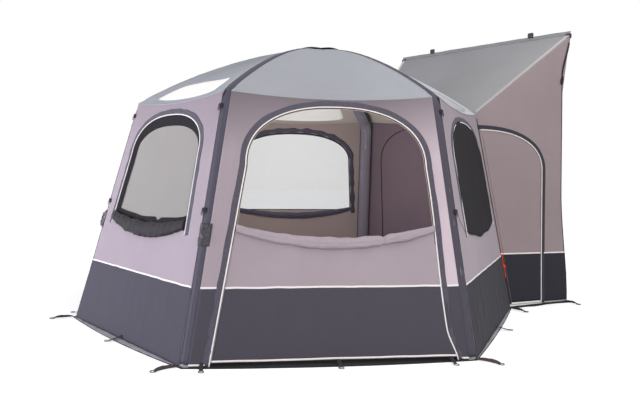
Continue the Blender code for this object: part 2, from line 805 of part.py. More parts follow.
def tunnel_corners(side):
    """Corner points of a tunnel side: leg at the ground and eaves, caravan at ground and rail."""
    corner = 2 if side > 0 else 3
    radius = SLEEVE_RADIUS + TUNNEL_EDGE_CLEARANCE
    foot = leg_point(corner, GAP, radius)
    eaves = leg_point(corner, EAVES_HEIGHT, radius)
    low = Vector((side * TUNNEL_FOOT_HALF, TUNNEL_DEPTH, 0))
    high = Vector((side * RAIL_HALF, TUNNEL_DEPTH, RAIL_HEIGHT))
    return foot, eaves, low, high


def tunnel_rows(side):
    """Rows of a tunnel side, a ruled surface from the leg's line to the caravan's."""
    foot, eaves, low, high = tunnel_corners(side)
    foot.z = GROUND_FABRIC + 2 * GAP
    low.z = GAP
    rows = []
    for row in range(TUNNEL_ROWS + 1):
        start = foot.lerp(eaves, row / TUNNEL_ROWS)
        end = low.lerp(high, row / TUNNEL_ROWS)
        line = [start.lerp(end, column / TUNNEL_ROWS) for column in range(TUNNEL_ROWS + 1)]
        rows.append(line if side > 0 else line[::-1])
    return rows


def tunnel_plane(side):
    """Axes of a tunnel side: x from the leg to the caravan, y up, z outward."""
    foot, eaves, low, high = tunnel_corners(side)
    across = (low - foot).normalized()
    normal = across.cross((eaves + high - foot - low).normalized()).normalized() * side
    up = normal.cross(across) * side
    axes = Matrix((across, up, normal)).transposed().to_4x4()
    return Matrix.Translation(foot) @ axes


def tunnel_door_outline(side, inset):
    """Quarter arch: straight beside the leg, round at the top, upright towards the caravan."""
    frame = tunnel_plane(side)
    foot, eaves, low, high = tunnel_corners(side)
    leg_top = frame.inverted() @ eaves
    door = TUNNEL_DOOR

    def leg_x(y):
        return leg_top.x * y / leg_top.y + door["strip"] + inset

    reach = door["reach"] - inset
    crest = door["top"] - inset
    rise = crest - door["spring"]
    start = leg_x(crest)
    points = [(leg_x(door["lift"]), door["lift"]), (start, crest)]
    steps = ARCH_STEPS // 2
    for step in range(1, steps + 1):
        angle = math.pi / 2 * (1 - step / steps)
        x = start + (reach - start) * math.cos(angle) ** (2 / ARCH_POWER)
        y = door["spring"] + rise * math.sin(angle) ** (2 / ARCH_POWER)
        points.append((x, y))
    points.append((reach, door["lift"]))
    return points


def tunnel_prism(name, side, inset, below):
    """Block through a tunnel side with the outline of its door."""
    points = tunnel_door_outline(side, inset)
    if below:
        points[0] = (points[0][0], -OVERRUN)
        points[-1] = (points[-1][0], -OVERRUN)
    return as_cutter(as_mesh(outline(name, [points], CUTTER_DEPTH, tunnel_plane(side))))


def make_tunnel():
    for side, label in ((1, "right"), (-1, "left")):
        wall = grid_mesh("tunnel_side_" + label, tunnel_rows(side))
        thicken(wall, WALL_FABRIC, 1.0)
        boolean(wall, tunnel_prism(f"tunnel_cut_{label}", side, 0, True))
        finish(wall, "wall")
        leaf = grid_mesh(f"tunnel_door_{label}_leaf", tunnel_rows(side))
        thicken(leaf, WALL_FABRIC, 1.0)
        boolean(leaf, tunnel_prism(f"tunnel_leaf_{label}", side, ZIP_GAP, False), "INTERSECT")
        finish(leaf, "wall")
        frame = tunnel_plane(side)
        first = tunnel_door_outline(side, 0)[0]
        carry(joint_frame(f"tunnel_door_{label}_hinge", frame @ Vector((*first, 0))), leaf)
        reach = TUNNEL_DOOR["reach"] + SLIDER_OFFSET
        place = tunnel_surface_matrix(side, reach, SLIDER_REST)
        make_slider(f"tunnel_door_{label}_slider", place)
    make_tunnel_roof()


def tunnel_surface_matrix(side, across, up):
    """Axes on the outer face of a tunnel side at a place in its plane's x and y."""
    to_plane = tunnel_plane(side).inverted()
    foot, eaves, low, high = tunnel_corners(side)

    def point(row, share):
        return foot.lerp(eaves, row).lerp(low.lerp(high, row), share)

    def share_across(row):
        start = (to_plane @ point(row, 0)).x
        end = (to_plane @ point(row, 1)).x
        return (across - start) / (end - start)

    below = 0
    above = 1
    for _ in range(SEARCH_STEPS):
        row = (below + above) / 2
        if (to_plane @ point(row, share_across(row))).y < up:
            below = row
        else:
            above = row
    share = share_across(row)
    middle = point(row, share)
    right = (point(row, share + PROBE_SHARE) - middle).normalized()
    upward = (point(row + PROBE_SHARE, share) - middle).normalized()
    normal = right.cross(upward).normalized() * side
    right = upward.cross(normal).normalized()
    axes = Matrix((right, upward, normal)).transposed().to_4x4()
    return Matrix.Translation(middle + normal * (WALL_FABRIC + GAP)) @ axes


def make_tunnel_roof():
    """Tunnel roof from the room's rear eaves up to the rail, and the strip that enters the rail."""
    corners = {side: tunnel_corners(side) for side in (-1, 1)}
    rows = []
    for row in range(TUNNEL_ROWS + 1):
        travel = row / TUNNEL_ROWS
        left = corners[-1][1].lerp(corners[-1][3], travel)
        right = corners[1][1].lerp(corners[1][3], travel)
        line = []
        for column in range(TUNNEL_ROWS + 1):
            share = column / TUNNEL_ROWS
            point = left.lerp(right, share)
            point.z += TUNNEL_ROOF_GAP - TUNNEL_ROOF_SAG * math.sin(math.pi * travel) * math.sin(math.pi * share)
            line.append(point)
        rows.append(line)
    roof = grid_mesh("tunnel_roof", rows)
    finish(thicken(roof, ROOF_FABRIC, 1.0), "roof")
    thickness, height = RAIL_STRIP
    rise = RAIL_HEIGHT + TUNNEL_ROOF_GAP
    middle = Vector((0, TUNNEL_DEPTH + 2 * GAP + thickness / 2, rise + height / 2))
    strip = block("rail_strip", (2 * RAIL_HALF, thickness, height), Matrix.Translation(middle))
    along = Matrix.Translation((0, middle.y, rise + height)) @ Matrix.Rotation(math.pi / 2, 4, "Y")
    bead = cylinder("rail_bead", RAIL_BEAD_RADIUS, 2 * RAIL_HALF - GAP, along, BEAD_SIDES)
    boolean(strip, as_cutter(bead), "UNION")
    finish(strip, "webbing")


def make_groundsheet():
    """Groundsheet whose sides bow out under the walls as a flap."""
    corners = []
    for corner in range(len(CORNERS)):
        point = meet(corner, 0)
        corners.append(point + point.normalized() * GROUND_CORNER)
    points = []
    for index, start in enumerate(corners):
        end = corners[(index + 1) % len(corners)]
        out = Vector((end.y - start.y, start.x - end.x, 0)).normalized()
        bow = 0 if walls[(index + 1) % len(walls)].name == "inner" else GROUND_BOW
        for step in range(BOW_STEPS):
            share = step / BOW_STEPS
            point = start.lerp(end, share) + out * bow * 4 * share * (1 - share)
            points.append((point.x, point.y))
    middle = Matrix.Translation((0, 0, GROUND_FABRIC / 2))
    return finish(outline("groundsheet", [points], GROUND_FABRIC, middle), "ground")


def strap_outline():
    """Webbing strap that ends in a ring for the peg."""
    half = STRAP["width"] / 2
    ring = STRAP["ring"]
    centre = STRAP["length"] + ring
    points = [(0, -half), (STRAP["length"] - STRAP["neck"], -half)]
    for step in range(RING_STEPS + 1):
        angle = math.radians(180 - RING_OPEN_ANGLE) * (2 * step / RING_STEPS - 1)
        points.append((centre + ring * math.cos(angle), ring * math.sin(angle)))
    points += [(STRAP["length"] - STRAP["neck"], half), (0, half)]
    hole = []
    for step in range(RING_STEPS):
        angle = math.tau * step / RING_STEPS
        hole.append((centre + STRAP["hole"] * math.cos(angle), STRAP["hole"] * math.sin(angle)))
    return [points, hole]


def make_strap(label, start, azimuth, level):
    """Strap on the ground that starts against a corner and points away from it."""
    turn = Matrix.Rotation(math.radians(azimuth), 4, "Z")
    place = Matrix.Translation((start.x, start.y, level + STRAP["thickness"] / 2)) @ turn
    return finish(outline("peg_strap_" + label, strap_outline(), STRAP["thickness"], place), "webbing")


def level_direction(azimuth):
    angle = math.radians(azimuth)
    return Vector((math.cos(angle), math.sin(angle), 0))


def clear_of_walls(corner, start, direction):
    """The start moved along its direction until a strap's end is outside the room's corner."""
    across = Vector((-direction.y, direction.x, 0)) * STRAP["width"] / 2
    moves = []
    for share in STRAP_END_SHARES:
        end = start + across * share
        ways = []
        for wall in (walls[corner], wall_right_of(corner)):
            facing = wall.normal.dot(direction)
            if facing > STRAP_FACING_SHARE:
                depth = wall.normal.dot(wall.origin - end) + MUD_FABRIC + GAP
                ways.append(depth / facing)
        moves.append(min(ways))
    return start + direction * max(moves)


def make_straps():
    for corner, label in enumerate(CORNERS):
        direction = level_direction(STRAP_AZIMUTHS[label])
        start = clear_of_walls(corner, leg_point(corner, 0, 0), direction)
        make_strap(label, start, STRAP_AZIMUTHS[label], GROUND_FABRIC + GAP)
    for side, label in ((1, "tunnel_right"), (-1, "tunnel_left")):
        frame = tunnel_plane(side)
        outward = frame.col[2].xyz
        azimuth = math.degrees(math.atan2(outward.y, outward.x))
        low = tunnel_corners(side)[2] - frame.col[0].xyz * STRAP["width"]
        start = low + level_direction(azimuth) * (WALL_FABRIC + 2 * GAP)
        make_strap(label, start, azimuth, GAP)


def make_valves():
    """Screw valves in the two front legs, each under a padded cover flap."""
    for corner, label in enumerate(CORNERS):
        if label not in VALVE_CORNERS:
            continue
        outer = SLEEVE_RADIUS - SLEEVE_FABRIC - GAP / math.cos(math.pi / BEAM_SIDES)
        seat = outer + VALVE["seat"]
        matrix = leg_matrix(corner, leg_point(corner, VALVE_HEIGHT, seat))
        radius = VALVE["radius"]
        length = VALVE["length"]
        rim = VALVE["rim"]
        profile = [
            (0, length), (VALVE["cap"] - rim, length), (VALVE["cap"], length - rim),
            (VALVE["cap"], length / 2), (radius - rim, length / 2 - rim / 2),
            (radius, length / 2 - rim * 2), (radius, 0), (0, 0),
        ]
        finish(turned("valve_" + label, profile, ROUND_SIDES, matrix), "plastic", "plastic")
        make_cover(corner, label)


def leg_skin(corner, across):
    """Distance out from a leg's middle line to its sleeve, or to the wall beside it."""
    half = walls[corner].normal.angle(wall_right_of(corner).normal) / 2
    beside = (SLEEVE_RADIUS + GAP + WALL_FABRIC - abs(across) * math.sin(half)) / math.cos(half)
    if abs(across) < SLEEVE_RADIUS * math.sin(half) * LEG_FACE_SHARE:
        return math.sqrt(SLEEVE_RADIUS ** 2 - across ** 2)
    return beside


def make_cover(corner, label):
    """Cover flap over a valve, bulged, and sewn on along its top edge."""
    rows = []
    for row in range(COVER_ROWS + 1):
        travel = row / COVER_ROWS
        y = COVER["height"] * (travel - 1)
        line = []
        for column in range(COVER_COLUMNS + 1):
            share = 2 * column / COVER_COLUMNS - 1
            across = COVER["half_width"] * share
            dome = (1 - share ** COVER_DOME_POWER) * (1 - (2 * travel - 1) ** COVER_DOME_POWER)
            out = leg_skin(corner, across) + GAP + COVER["bulge"] * dome
            line.append(Vector((across, y, out)))
        rows.append(line)
    flap = grid_mesh("valve_cover_" + label, rows)
    flap.matrix_world = leg_matrix(corner, leg_point(corner, COVER["top"], 0))
    thicken(flap, COVER["thickness"], 1.0)
    return finish(flap, "dark")


def guy_route():
    """Middle line of the guyline's tail: out of its loop at the corner, then down the leg."""
    corner = CORNERS.index("rear_right")
    turn = Matrix.Rotation(math.radians(GUY["azimuth_from_corner"]), 3, "Z")
    out = (turn @ corner_out(corner)).normalized()
    top = leg_point(corner, GUY["height"], 0)
    down = (leg_point(corner, 0, 0) - leg_point(corner, KNEE_HEIGHT, 0)).normalized()
    out = (out - down * out.dot(down)).normalized()
    start = top + out * (SLEEVE_RADIUS + GAP)
    points = [start]
    centre = start + out * (GUY["stand_off"] - GUY_BEND) + down * GUY_BEND
    for share in GUY_BEND_SHARES:
        angle = math.pi / 2 * share
        points.append(centre + out * GUY_BEND * math.sin(angle) - down * GUY_BEND * math.cos(angle))
    knee = points[-1]
    straight = GUY["drop"] - GUY_BEND
    points += [knee + down * straight * (step + 1) / GUY_RUNS for step in range(GUY_RUNS)]
    return points, out, down


def make_guyline():
    points, out, down = guy_route()
    cord = tube("guyline_cord", points, GUY["radius"], GUY_SIDES)
    finish(cord, "orange")
    across = down.cross(out)
    knee = points[-1] - down * (points[-1] - points[0]).dot(down)
    centre = knee + down * RUNNER_DROP
    axes = Matrix((across, down, out)).transposed().to_4x4()
    place = Matrix.Translation(centre) @ axes
    size = (RUNNER["width"], RUNNER["length"], RUNNER["thickness"])
    runner = block("guyline_runner", size, place)
    edge = runner.modifiers.new("edge", "BEVEL")
    edge.width = RUNNER["edge"]
    edge.segments = 2
    bore_place = place @ Matrix.Rotation(math.pi / 2, 4, "X")
    bore = cylinder("runner_bore", RUNNER["hole_radius"], 2 * RUNNER["length"], bore_place, BEAD_SIDES)
    boolean(runner, as_cutter(bore))
    finish(runner, "orange", "plastic")


ground_level = GROUND_FABRIC + GAP
ground = ground_cutter(ground_level)
for index in range(len(CORNERS)):
    make_sleeve(index, ground)
for wall in walls:
    make_wall(wall)
    make_roof(wall)
make_air_frame(ground)
make_crown_cap()
make_windows()
make_doors()
make_tunnel()
make_groundsheet()
make_straps()
make_valves()
make_guyline()
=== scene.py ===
# %% [markdown]
# An inflatable caravan awning
#
# The awning is a six-sided room that stands on six air beams, with a short tunnel that climbs from
# its rear wall to the rail of a caravan. Its frame, sizes and joints are already fixed as a set of
# solids. This lesson dresses them: every wall, roof panel, flap, tape and cord is worked out as a
# surface, gets its own cloth, and rides on the solid body that carries it.

import json
import math

import bmesh
import bpy
import numpy as np
from mathutils import Matrix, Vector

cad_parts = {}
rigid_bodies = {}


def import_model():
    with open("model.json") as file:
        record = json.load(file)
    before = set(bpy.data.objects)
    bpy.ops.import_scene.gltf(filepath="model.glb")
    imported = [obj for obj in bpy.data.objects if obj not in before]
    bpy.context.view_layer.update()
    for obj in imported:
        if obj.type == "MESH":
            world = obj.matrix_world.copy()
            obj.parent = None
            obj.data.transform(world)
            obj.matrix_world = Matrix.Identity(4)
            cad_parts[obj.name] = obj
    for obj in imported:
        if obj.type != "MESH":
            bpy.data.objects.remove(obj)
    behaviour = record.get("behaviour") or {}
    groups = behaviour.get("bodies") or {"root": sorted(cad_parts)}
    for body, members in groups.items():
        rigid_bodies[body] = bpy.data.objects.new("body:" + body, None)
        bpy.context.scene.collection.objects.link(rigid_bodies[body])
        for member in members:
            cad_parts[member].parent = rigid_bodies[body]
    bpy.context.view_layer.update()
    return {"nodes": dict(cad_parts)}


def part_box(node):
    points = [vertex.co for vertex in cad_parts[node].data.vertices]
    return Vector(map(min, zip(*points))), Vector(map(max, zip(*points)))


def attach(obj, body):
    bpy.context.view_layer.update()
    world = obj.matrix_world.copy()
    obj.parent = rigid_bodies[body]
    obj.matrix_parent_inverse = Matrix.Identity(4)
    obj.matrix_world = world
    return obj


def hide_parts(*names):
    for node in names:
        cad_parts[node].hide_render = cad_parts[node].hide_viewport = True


for old in list(bpy.data.objects):
    bpy.data.objects.remove(old, do_unlink=True)
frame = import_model()
print("solids:", len(frame["nodes"]))

# %% [markdown]
# The camera
#
# The camera stands in front of the open door, a little to its left as one faces it, at about chest
# height. Its place and turns were worked out from the straight edges of the tent: the feet of the
# legs, the eaves and the rail. It is built from three turns, because those are easy to check.

# %% Camera
CAMERA_PLACE = (4.8387, -3.8494, 1.2906)
CAMERA_YAW = 0.8763
CAMERA_PITCH = -0.0438
CAMERA_ROLL = 0.0145
SENSOR_WIDTH = 36.0
LENS = 38.246


def camera_axes(yaw, pitch, roll):
    """Right, up and forward of a camera that yaws from +Y, then pitches, then rolls."""
    forward = np.array((-math.sin(yaw) * math.cos(pitch), math.cos(yaw) * math.cos(pitch), math.sin(pitch)))
    right = np.array((math.cos(yaw), math.sin(yaw), 0.0))
    up = np.cross(right, forward)
    rolled_right = math.cos(roll) * right + math.sin(roll) * up
    rolled_up = math.cos(roll) * up - math.sin(roll) * right
    return rolled_right, rolled_up, forward


view_right, view_up, view_forward = camera_axes(CAMERA_YAW, CAMERA_PITCH, CAMERA_ROLL)
camera_data = bpy.data.cameras.new("studio_camera")
camera_data.sensor_width = SENSOR_WIDTH
camera_data.lens = LENS
camera = bpy.data.objects.new("studio_camera", camera_data)
bpy.context.scene.collection.objects.link(camera)
placed = np.eye(4)
placed[:3, 0], placed[:3, 1], placed[:3, 2], placed[:3, 3] = view_right, view_up, -view_forward, CAMERA_PLACE
camera.matrix_world = Matrix(placed.tolist())
bpy.context.scene.camera = camera
print("camera looks along", np.round(view_forward, 3))

# %% [markdown]
# Colours and nodes
#
# A paint code such as #ADA0AA is written for a screen, and Blender mixes light, so each code is made
# linear first. Every material is a small tree of nodes. One helper adds a node and fills its inputs:
# a number is typed into the socket, and another node's output is linked to it.

# %% Colour and node helpers
SCREEN_KNEE = 0.04045
SCREEN_SLOPE = 12.92
SCREEN_OFFSET = 0.055
SCREEN_POWER = 2.4


def paint(code, share=1.0):
    """Linear colour of a #RRGGBB code, times a share: the screen's own curve, undone."""
    screen = np.array([int(code[i:i + 2], 16) for i in (1, 3, 5)]) / 255
    low = screen / SCREEN_SLOPE
    high = ((screen + SCREEN_OFFSET) / (1 + SCREEN_OFFSET)) ** SCREEN_POWER
    linear = np.where(screen <= SCREEN_KNEE, low, high) * share
    return (*linear.tolist(), 1.0)


def add_node(tree, kind, settings=None, **inputs):
    """One node, with its settings, and its inputs typed in or linked."""
    made = tree.nodes.new(kind)
    for key, value in (settings or {}).items():
        setattr(made, key, value)
    for key, value in inputs.items():
        socket = made.inputs[int(key[1:])] if key[1:].isdigit() else made.inputs[key.replace("_", " ")]
        if isinstance(value, bpy.types.NodeSocket):
            tree.links.new(value, socket)
        else:
            socket.default_value = value
    return made


def new_material(name):
    """A material with an empty tree, its shader and the two coordinate sets."""
    material = bpy.data.materials.new(name)
    material.use_nodes = True
    tree = material.node_tree
    tree.nodes.clear()
    shader = tree.nodes.new("ShaderNodeBsdfPrincipled")
    output = tree.nodes.new("ShaderNodeOutputMaterial")
    tree.links.new(shader.outputs["BSDF"], output.inputs["Surface"])
    return material, tree, shader, tree.nodes.new("ShaderNodeTexCoord")


# %% [markdown]
# The studio
#
# The floor and the background are white, as in a catalogue. The world lights the tent from all
# sides, and the camera, mirrors and clear film see it as plain white. Extra light would bleach the
# cloth, so the floor is made white in its own material: what the camera sees of it has a little glow
# on top of its lit colour, and the shadow under the tent still shows. The sky part of the world is
# weaker straight above, which lets the roof darken towards the crown. Cloth also lets some daylight
# through. Tracing that through a double-faced sheet is slow and grainy, so a large soft light inside
# the room stands in for it.

# %% Studio: world, floor and lamps
WORLD_COLOR = "#ECEEF4"
WORLD_LEVEL = 0.86
WORLD_ZENITH = 0.26
FLOOR_SIZE = 60.0
FLOOR_COLOR = "#E6E6E6"
FLOOR_GLOW = 0.50
FLOOR_FADE = (3.0, 6.0)
FLOOR_FAR_GLOW = 0.72
LAMPS = (
    # name, place, aimed at, size, watts, colour
    ("window_left", (-3.5, -9.0, 1.7), (0.0, -0.5, 1.0), 3.2, 600.0, "#F4F2FF"),
    ("window_high", (4.0, 1.0, 8.0), (0.3, 0.5, 1.2), 5.0, 240.0, "#FFFFFF"),
    ("fill_right", (7.5, -3.5, 4.5), (0.5, 0.0, 1.4), 5.0, 230.0, "#FFF3E8"),
)
INSIDE_PLACE = (0.0, 0.1, 1.25)
INSIDE_RADIUS = 0.5
INSIDE_WATTS = 50.0


def seen_directly(tree):
    """1 for rays from the camera, and for those a mirror or clear film sends on."""
    path = tree.nodes.new("ShaderNodeLightPath")
    first = add_node(tree, "ShaderNodeMath", {"operation": "MAXIMUM"},
                     _0=path.outputs["Is Camera Ray"], _1=path.outputs["Is Glossy Ray"])
    both = add_node(tree, "ShaderNodeMath", {"operation": "MAXIMUM"},
                    _0=first.outputs[0], _1=path.outputs["Is Transmission Ray"])
    return both.outputs[0]


def make_world():
    world = bpy.data.worlds.new("studio")
    world.use_nodes = True
    tree = world.node_tree
    tree.nodes.clear()
    coords = tree.nodes.new("ShaderNodeTexCoord")
    split = add_node(tree, "ShaderNodeSeparateXYZ", Vector=coords.outputs["Generated"])
    level = add_node(tree, "ShaderNodeMapRange", Value=split.outputs["Z"], From_Min=0.0, From_Max=1.0,
                     To_Min=WORLD_LEVEL, To_Max=WORLD_ZENITH)
    lit = add_node(tree, "ShaderNodeBackground", Color=paint(WORLD_COLOR), Strength=level.outputs[0])
    seen = add_node(tree, "ShaderNodeBackground", Color=(1.0, 1.0, 1.0, 1.0), Strength=1.0)
    mix = add_node(tree, "ShaderNodeMixShader", _0=seen_directly(tree),
                   _1=lit.outputs[0], _2=seen.outputs[0])
    add_node(tree, "ShaderNodeOutputWorld", Surface=mix.outputs[0])
    bpy.context.scene.world = world


def make_floor():
    mesh = bpy.data.meshes.new("studio_floor")
    work = bmesh.new()
    bmesh.ops.create_grid(work, x_segments=1, y_segments=1, size=FLOOR_SIZE / 2)
    work.to_mesh(mesh)
    work.free()
    floor = bpy.data.objects.new("studio_floor", mesh)
    bpy.context.scene.collection.objects.link(floor)
    material = bpy.data.materials.new("studio_floor")
    material.use_nodes = True
    tree = material.node_tree
    tree.nodes.clear()
    lit = add_node(tree, "ShaderNodeBsdfDiffuse", Color=paint(FLOOR_COLOR))
    place = tree.nodes.new("ShaderNodeTexCoord")
    distance = add_node(tree, "ShaderNodeVectorMath", {"operation": "LENGTH"}, _0=place.outputs["Object"])
    near, far = FLOOR_FADE
    rise = add_node(tree, "ShaderNodeMapRange", Value=distance.outputs["Value"], From_Min=near, From_Max=far,
                    To_Min=FLOOR_GLOW, To_Max=FLOOR_FAR_GLOW)
    glow = add_node(tree, "ShaderNodeEmission", Color=(1.0, 1.0, 1.0, 1.0), Strength=rise.outputs["Result"])
    both = add_node(tree, "ShaderNodeAddShader", _0=lit.outputs[0], _1=glow.outputs[0])
    mix = add_node(tree, "ShaderNodeMixShader", _0=seen_directly(tree), _1=lit.outputs[0], _2=both.outputs[0])
    add_node(tree, "ShaderNodeOutputMaterial", Surface=mix.outputs[0])
    mesh.materials.append(material)


def make_lamp(name, place, target, size, watts, color):
    data = bpy.data.lights.new(name, "AREA")
    data.size = size
    data.energy = watts
    data.color = paint(color)[:3]
    lamp = bpy.data.objects.new(name, data)
    bpy.context.scene.collection.objects.link(lamp)
    back = np.array(place) - np.array(target)
    back = back / np.linalg.norm(back)
    right = np.cross((0.0, 0.0, 1.0), back)
    right = right / np.linalg.norm(right)
    turned = np.eye(4)
    turned[:3, 0], turned[:3, 1], turned[:3, 2], turned[:3, 3] = right, np.cross(back, right), back, place
    lamp.matrix_world = Matrix(turned.tolist())


def make_inside_light():
    """A soft ball of light in the room, for the daylight that the cloth lets through."""
    data = bpy.data.lights.new("daylight_inside", "POINT")
    data.shadow_soft_size = INSIDE_RADIUS
    data.energy = INSIDE_WATTS
    lamp = bpy.data.objects.new("daylight_inside", data)
    lamp.location = INSIDE_PLACE
    lamp.visible_camera = False
    lamp.visible_glossy = False
    bpy.context.scene.collection.objects.link(lamp)


make_world()
make_floor()
make_inside_light()
for values in LAMPS:
    make_lamp(*values)
bpy.context.scene.view_settings.view_transform = "Standard"
print("lamps:", [values[0] for values in LAMPS])

# %% [markdown]
# Cloth
#
# Tent cloth is a fine plain weave with a coating. From a few metres away the weave only softens the
# shine, and what the eye sees is a slow change of tone and the soft unevenness of stretched cloth.
# So the colour moves between two close tones on a large noise, threads of slightly unlike dye run
# along the weave, and two bumps are stacked: thread by thread, and hand-sized puckers. The threads
# follow the piece's own UV map, which is in metres, and the slow changes use Object coordinates.

# %% Cloth materials
WAVE_PERIOD = 0.314  # a wave texture of scale 1 repeats after this many metres
MOTTLE_SCALE = 1.3
SLUB_SCALE = 900.0
SLUB_STRETCH = 0.02
SLUB_SHARE = 0.35
TONE_RANGE = (0.42, 0.92)
WORN_RANGE = (0.3, 0.7)
ROUGH_SPREAD = 0.06


def threads(tree, uv, pitch, direction):
    """Ridges of one set of threads: a sine band along the UV map, one per pitch."""
    return add_node(tree, "ShaderNodeTexWave", {"bands_direction": direction},
                    Vector=uv, Scale=WAVE_PERIOD / pitch, Distortion=0.0, Detail=0.0).outputs["Fac"]


def cloth(name, code, low=0.90, high=1.06, pitch=0.0012, weave=0.00018, pucker=0.0025, pucker_scale=7.0,
          rough=0.75, sheen=0.05, specular=0.15, glow=0.0, shade=None, across=None):
    """Woven, coated cloth: two tones, slubs, a thread bump, soft puckers, and a painted glow for daylight
    shining through.

    shade is painted shade by height: a height where the tone starts to change, one where it stops, and
    the share of the tone there. across is the same painted shade and light along X."""
    material, tree, shader, coords = new_material(name)
    uv = coords.outputs["UV"]
    place = coords.outputs["Object"]
    mottle = add_node(tree, "ShaderNodeTexNoise", Vector=place, Scale=MOTTLE_SCALE, Detail=5.0,
                      Roughness=0.55)
    stretch = add_node(tree, "ShaderNodeMapping", Vector=uv, Scale=(1.0, SLUB_STRETCH, 1.0))
    slub = add_node(tree, "ShaderNodeTexNoise", Vector=stretch.outputs[0], Scale=SLUB_SCALE, Detail=2.0)
    tone = add_node(tree, "ShaderNodeMath", {"operation": "MULTIPLY_ADD"},
                    _0=slub.outputs["Fac"], _1=SLUB_SHARE, _2=mottle.outputs["Fac"])
    spread = add_node(tree, "ShaderNodeMapRange", Value=tone.outputs[0], From_Min=TONE_RANGE[0],
                      From_Max=TONE_RANGE[1])
    mix = add_node(tree, "ShaderNodeMix", {"data_type": "RGBA"}, _0=spread.outputs[0],
                   _6=paint(code, low), _7=paint(code, high))
    color = mix.outputs[2]
    # Painted shade and light: where asked, the tone is scaled by height and along X.
    for axis, fade in (("Z", shade), ("X", across)):
        if not fade:
            continue
        axes = add_node(tree, "ShaderNodeSeparateXYZ", Vector=place)
        start, end, share = fade
        dim = add_node(tree, "ShaderNodeMapRange", Value=axes.outputs[axis], From_Min=start, From_Max=end,
                       To_Min=1.0, To_Max=share)
        darker = add_node(tree, "ShaderNodeVectorMath", {"operation": "SCALE"}, _0=color,
                          Scale=dim.outputs["Result"])
        color = darker.outputs["Vector"]
    tree.links.new(color, shader.inputs["Base Color"])
    warp = threads(tree, uv, pitch, "X")
    weft = threads(tree, uv, pitch, "Y")
    woven = add_node(tree, "ShaderNodeMath", {"operation": "MULTIPLY"}, _0=warp, _1=weft)
    soft = add_node(tree, "ShaderNodeTexNoise", Vector=place, Scale=pucker_scale, Detail=4.0, Roughness=0.5)
    large = add_node(tree, "ShaderNodeBump", Height=soft.outputs["Fac"], Strength=1.0, Distance=pucker)
    fine = add_node(tree, "ShaderNodeBump", Height=woven.outputs[0], Normal=large.outputs[0],
                    Strength=0.6, Distance=weave)
    tree.links.new(fine.outputs[0], shader.inputs["Normal"])
    worn = add_node(tree, "ShaderNodeMapRange", Value=mottle.outputs["Fac"], From_Min=WORN_RANGE[0],
                    From_Max=WORN_RANGE[1], To_Min=rough - ROUGH_SPREAD, To_Max=rough + ROUGH_SPREAD)
    tree.links.new(worn.outputs[0], shader.inputs["Roughness"])
    shader.inputs["Sheen Weight"].default_value = sheen
    shader.inputs["Sheen Roughness"].default_value = 0.5
    shader.inputs["Specular IOR Level"].default_value = specular
    # Painted light: a glow in the cloth's own colour.
    if glow:
        tree.links.new(mix.outputs[2], shader.inputs["Emission Color"])
        shader.inputs["Emission Strength"].default_value = glow
    return material


# Painted shade: the outer wall cloth is darker towards the eaves, where less light reaches it.
WALL = cloth("mauve_wall_cloth", "#A89DA6", shade=(1.35, 1.85, 0.80))
# Painted shade and light: the door's wall is darker over the arch and lighter towards its right edge.
WALL_DOOR_LIGHT_AND_SHADE = cloth("mauve_door_wall_cloth", "#A89DA6", shade=(1.40, 1.80, 0.52), across=(1.30, 1.72, 1.62))
ROLLED_WALL = cloth("mauve_rolled_cloth", "#A89DA6", pucker=0.016, pucker_scale=16.0, rough=0.6, specular=0.3)
# Painted light: the inner faces of the cloth glow a little, for the daylight that comes through it.
LINING = cloth("taupe_inner_face", "#8D7E7B", rough=0.82, glow=0.16)
INNER_LINING = cloth("dark_taupe_inner_wall", "#6F5F68", rough=0.82, glow=0.12)
# Painted shade: the tunnel's side is a darker copy of the wall cloth, as it is turned from the light.
TUNNEL_PAINTED_SHADE = cloth("tunnel_wall_cloth", "#998C8F", pucker=0.002)
# Painted shade: a darker copy of the roof cloth for the front and left front panels, darker still towards the
# crown.
ROOF_PAINTED_SHADE = cloth("grey_roof_cloth_left", "#979AA1", pucker=0.002, pucker_scale=5.0, rough=0.68,
                  shade=(1.95, 2.4, 0.66))
# Painted light: a lighter copy of the roof cloth for the right rear panel.
ROOF_PAINTED_LIGHT = cloth("grey_roof_cloth_rear", "#C5C8CF", pucker=0.002, pucker_scale=5.0, rough=0.68)
ROOF = cloth("grey_roof_cloth", "#A3A6AD", pucker=0.002, pucker_scale=5.0, rough=0.68)
# Painted shade and light: the tunnel roof is darker towards the rail and lighter towards its right side.
TUNNEL_ROOF = cloth("tunnel_roof_cloth", "#9A9A9C", pucker=0.004, pucker_scale=4.0, rough=0.7,
                    shade=(2.1, 2.6, 0.80), across=(-0.2, 0.95, 1.22))
# Painted light: the roof's inner face glows a little too.
ROOF_LINING = cloth("roof_inner_face", "#ACA29B", rough=0.82, glow=0.12)
MUD = cloth("dark_mud_wall", "#4A4853", pitch=0.0016, weave=0.0003, pucker=0.004, pucker_scale=9.0,
            specular=0.22, sheen=0.0)
# Painted shade: a darker copy of the mud wall for the sides turned from the light.
MUD_PAINTED_SHADE = cloth("shaded_mud_wall", "#35343C", pitch=0.0016, weave=0.0001, pucker=0.0008, pucker_scale=5.0,
                specular=0.06)
BEAM = cloth("slate_beam_sleeve", "#4C4A57", pitch=0.0016, weave=0.0003, pucker=0.008, pucker_scale=9.0,
             rough=0.6, sheen=0.0, specular=0.2)
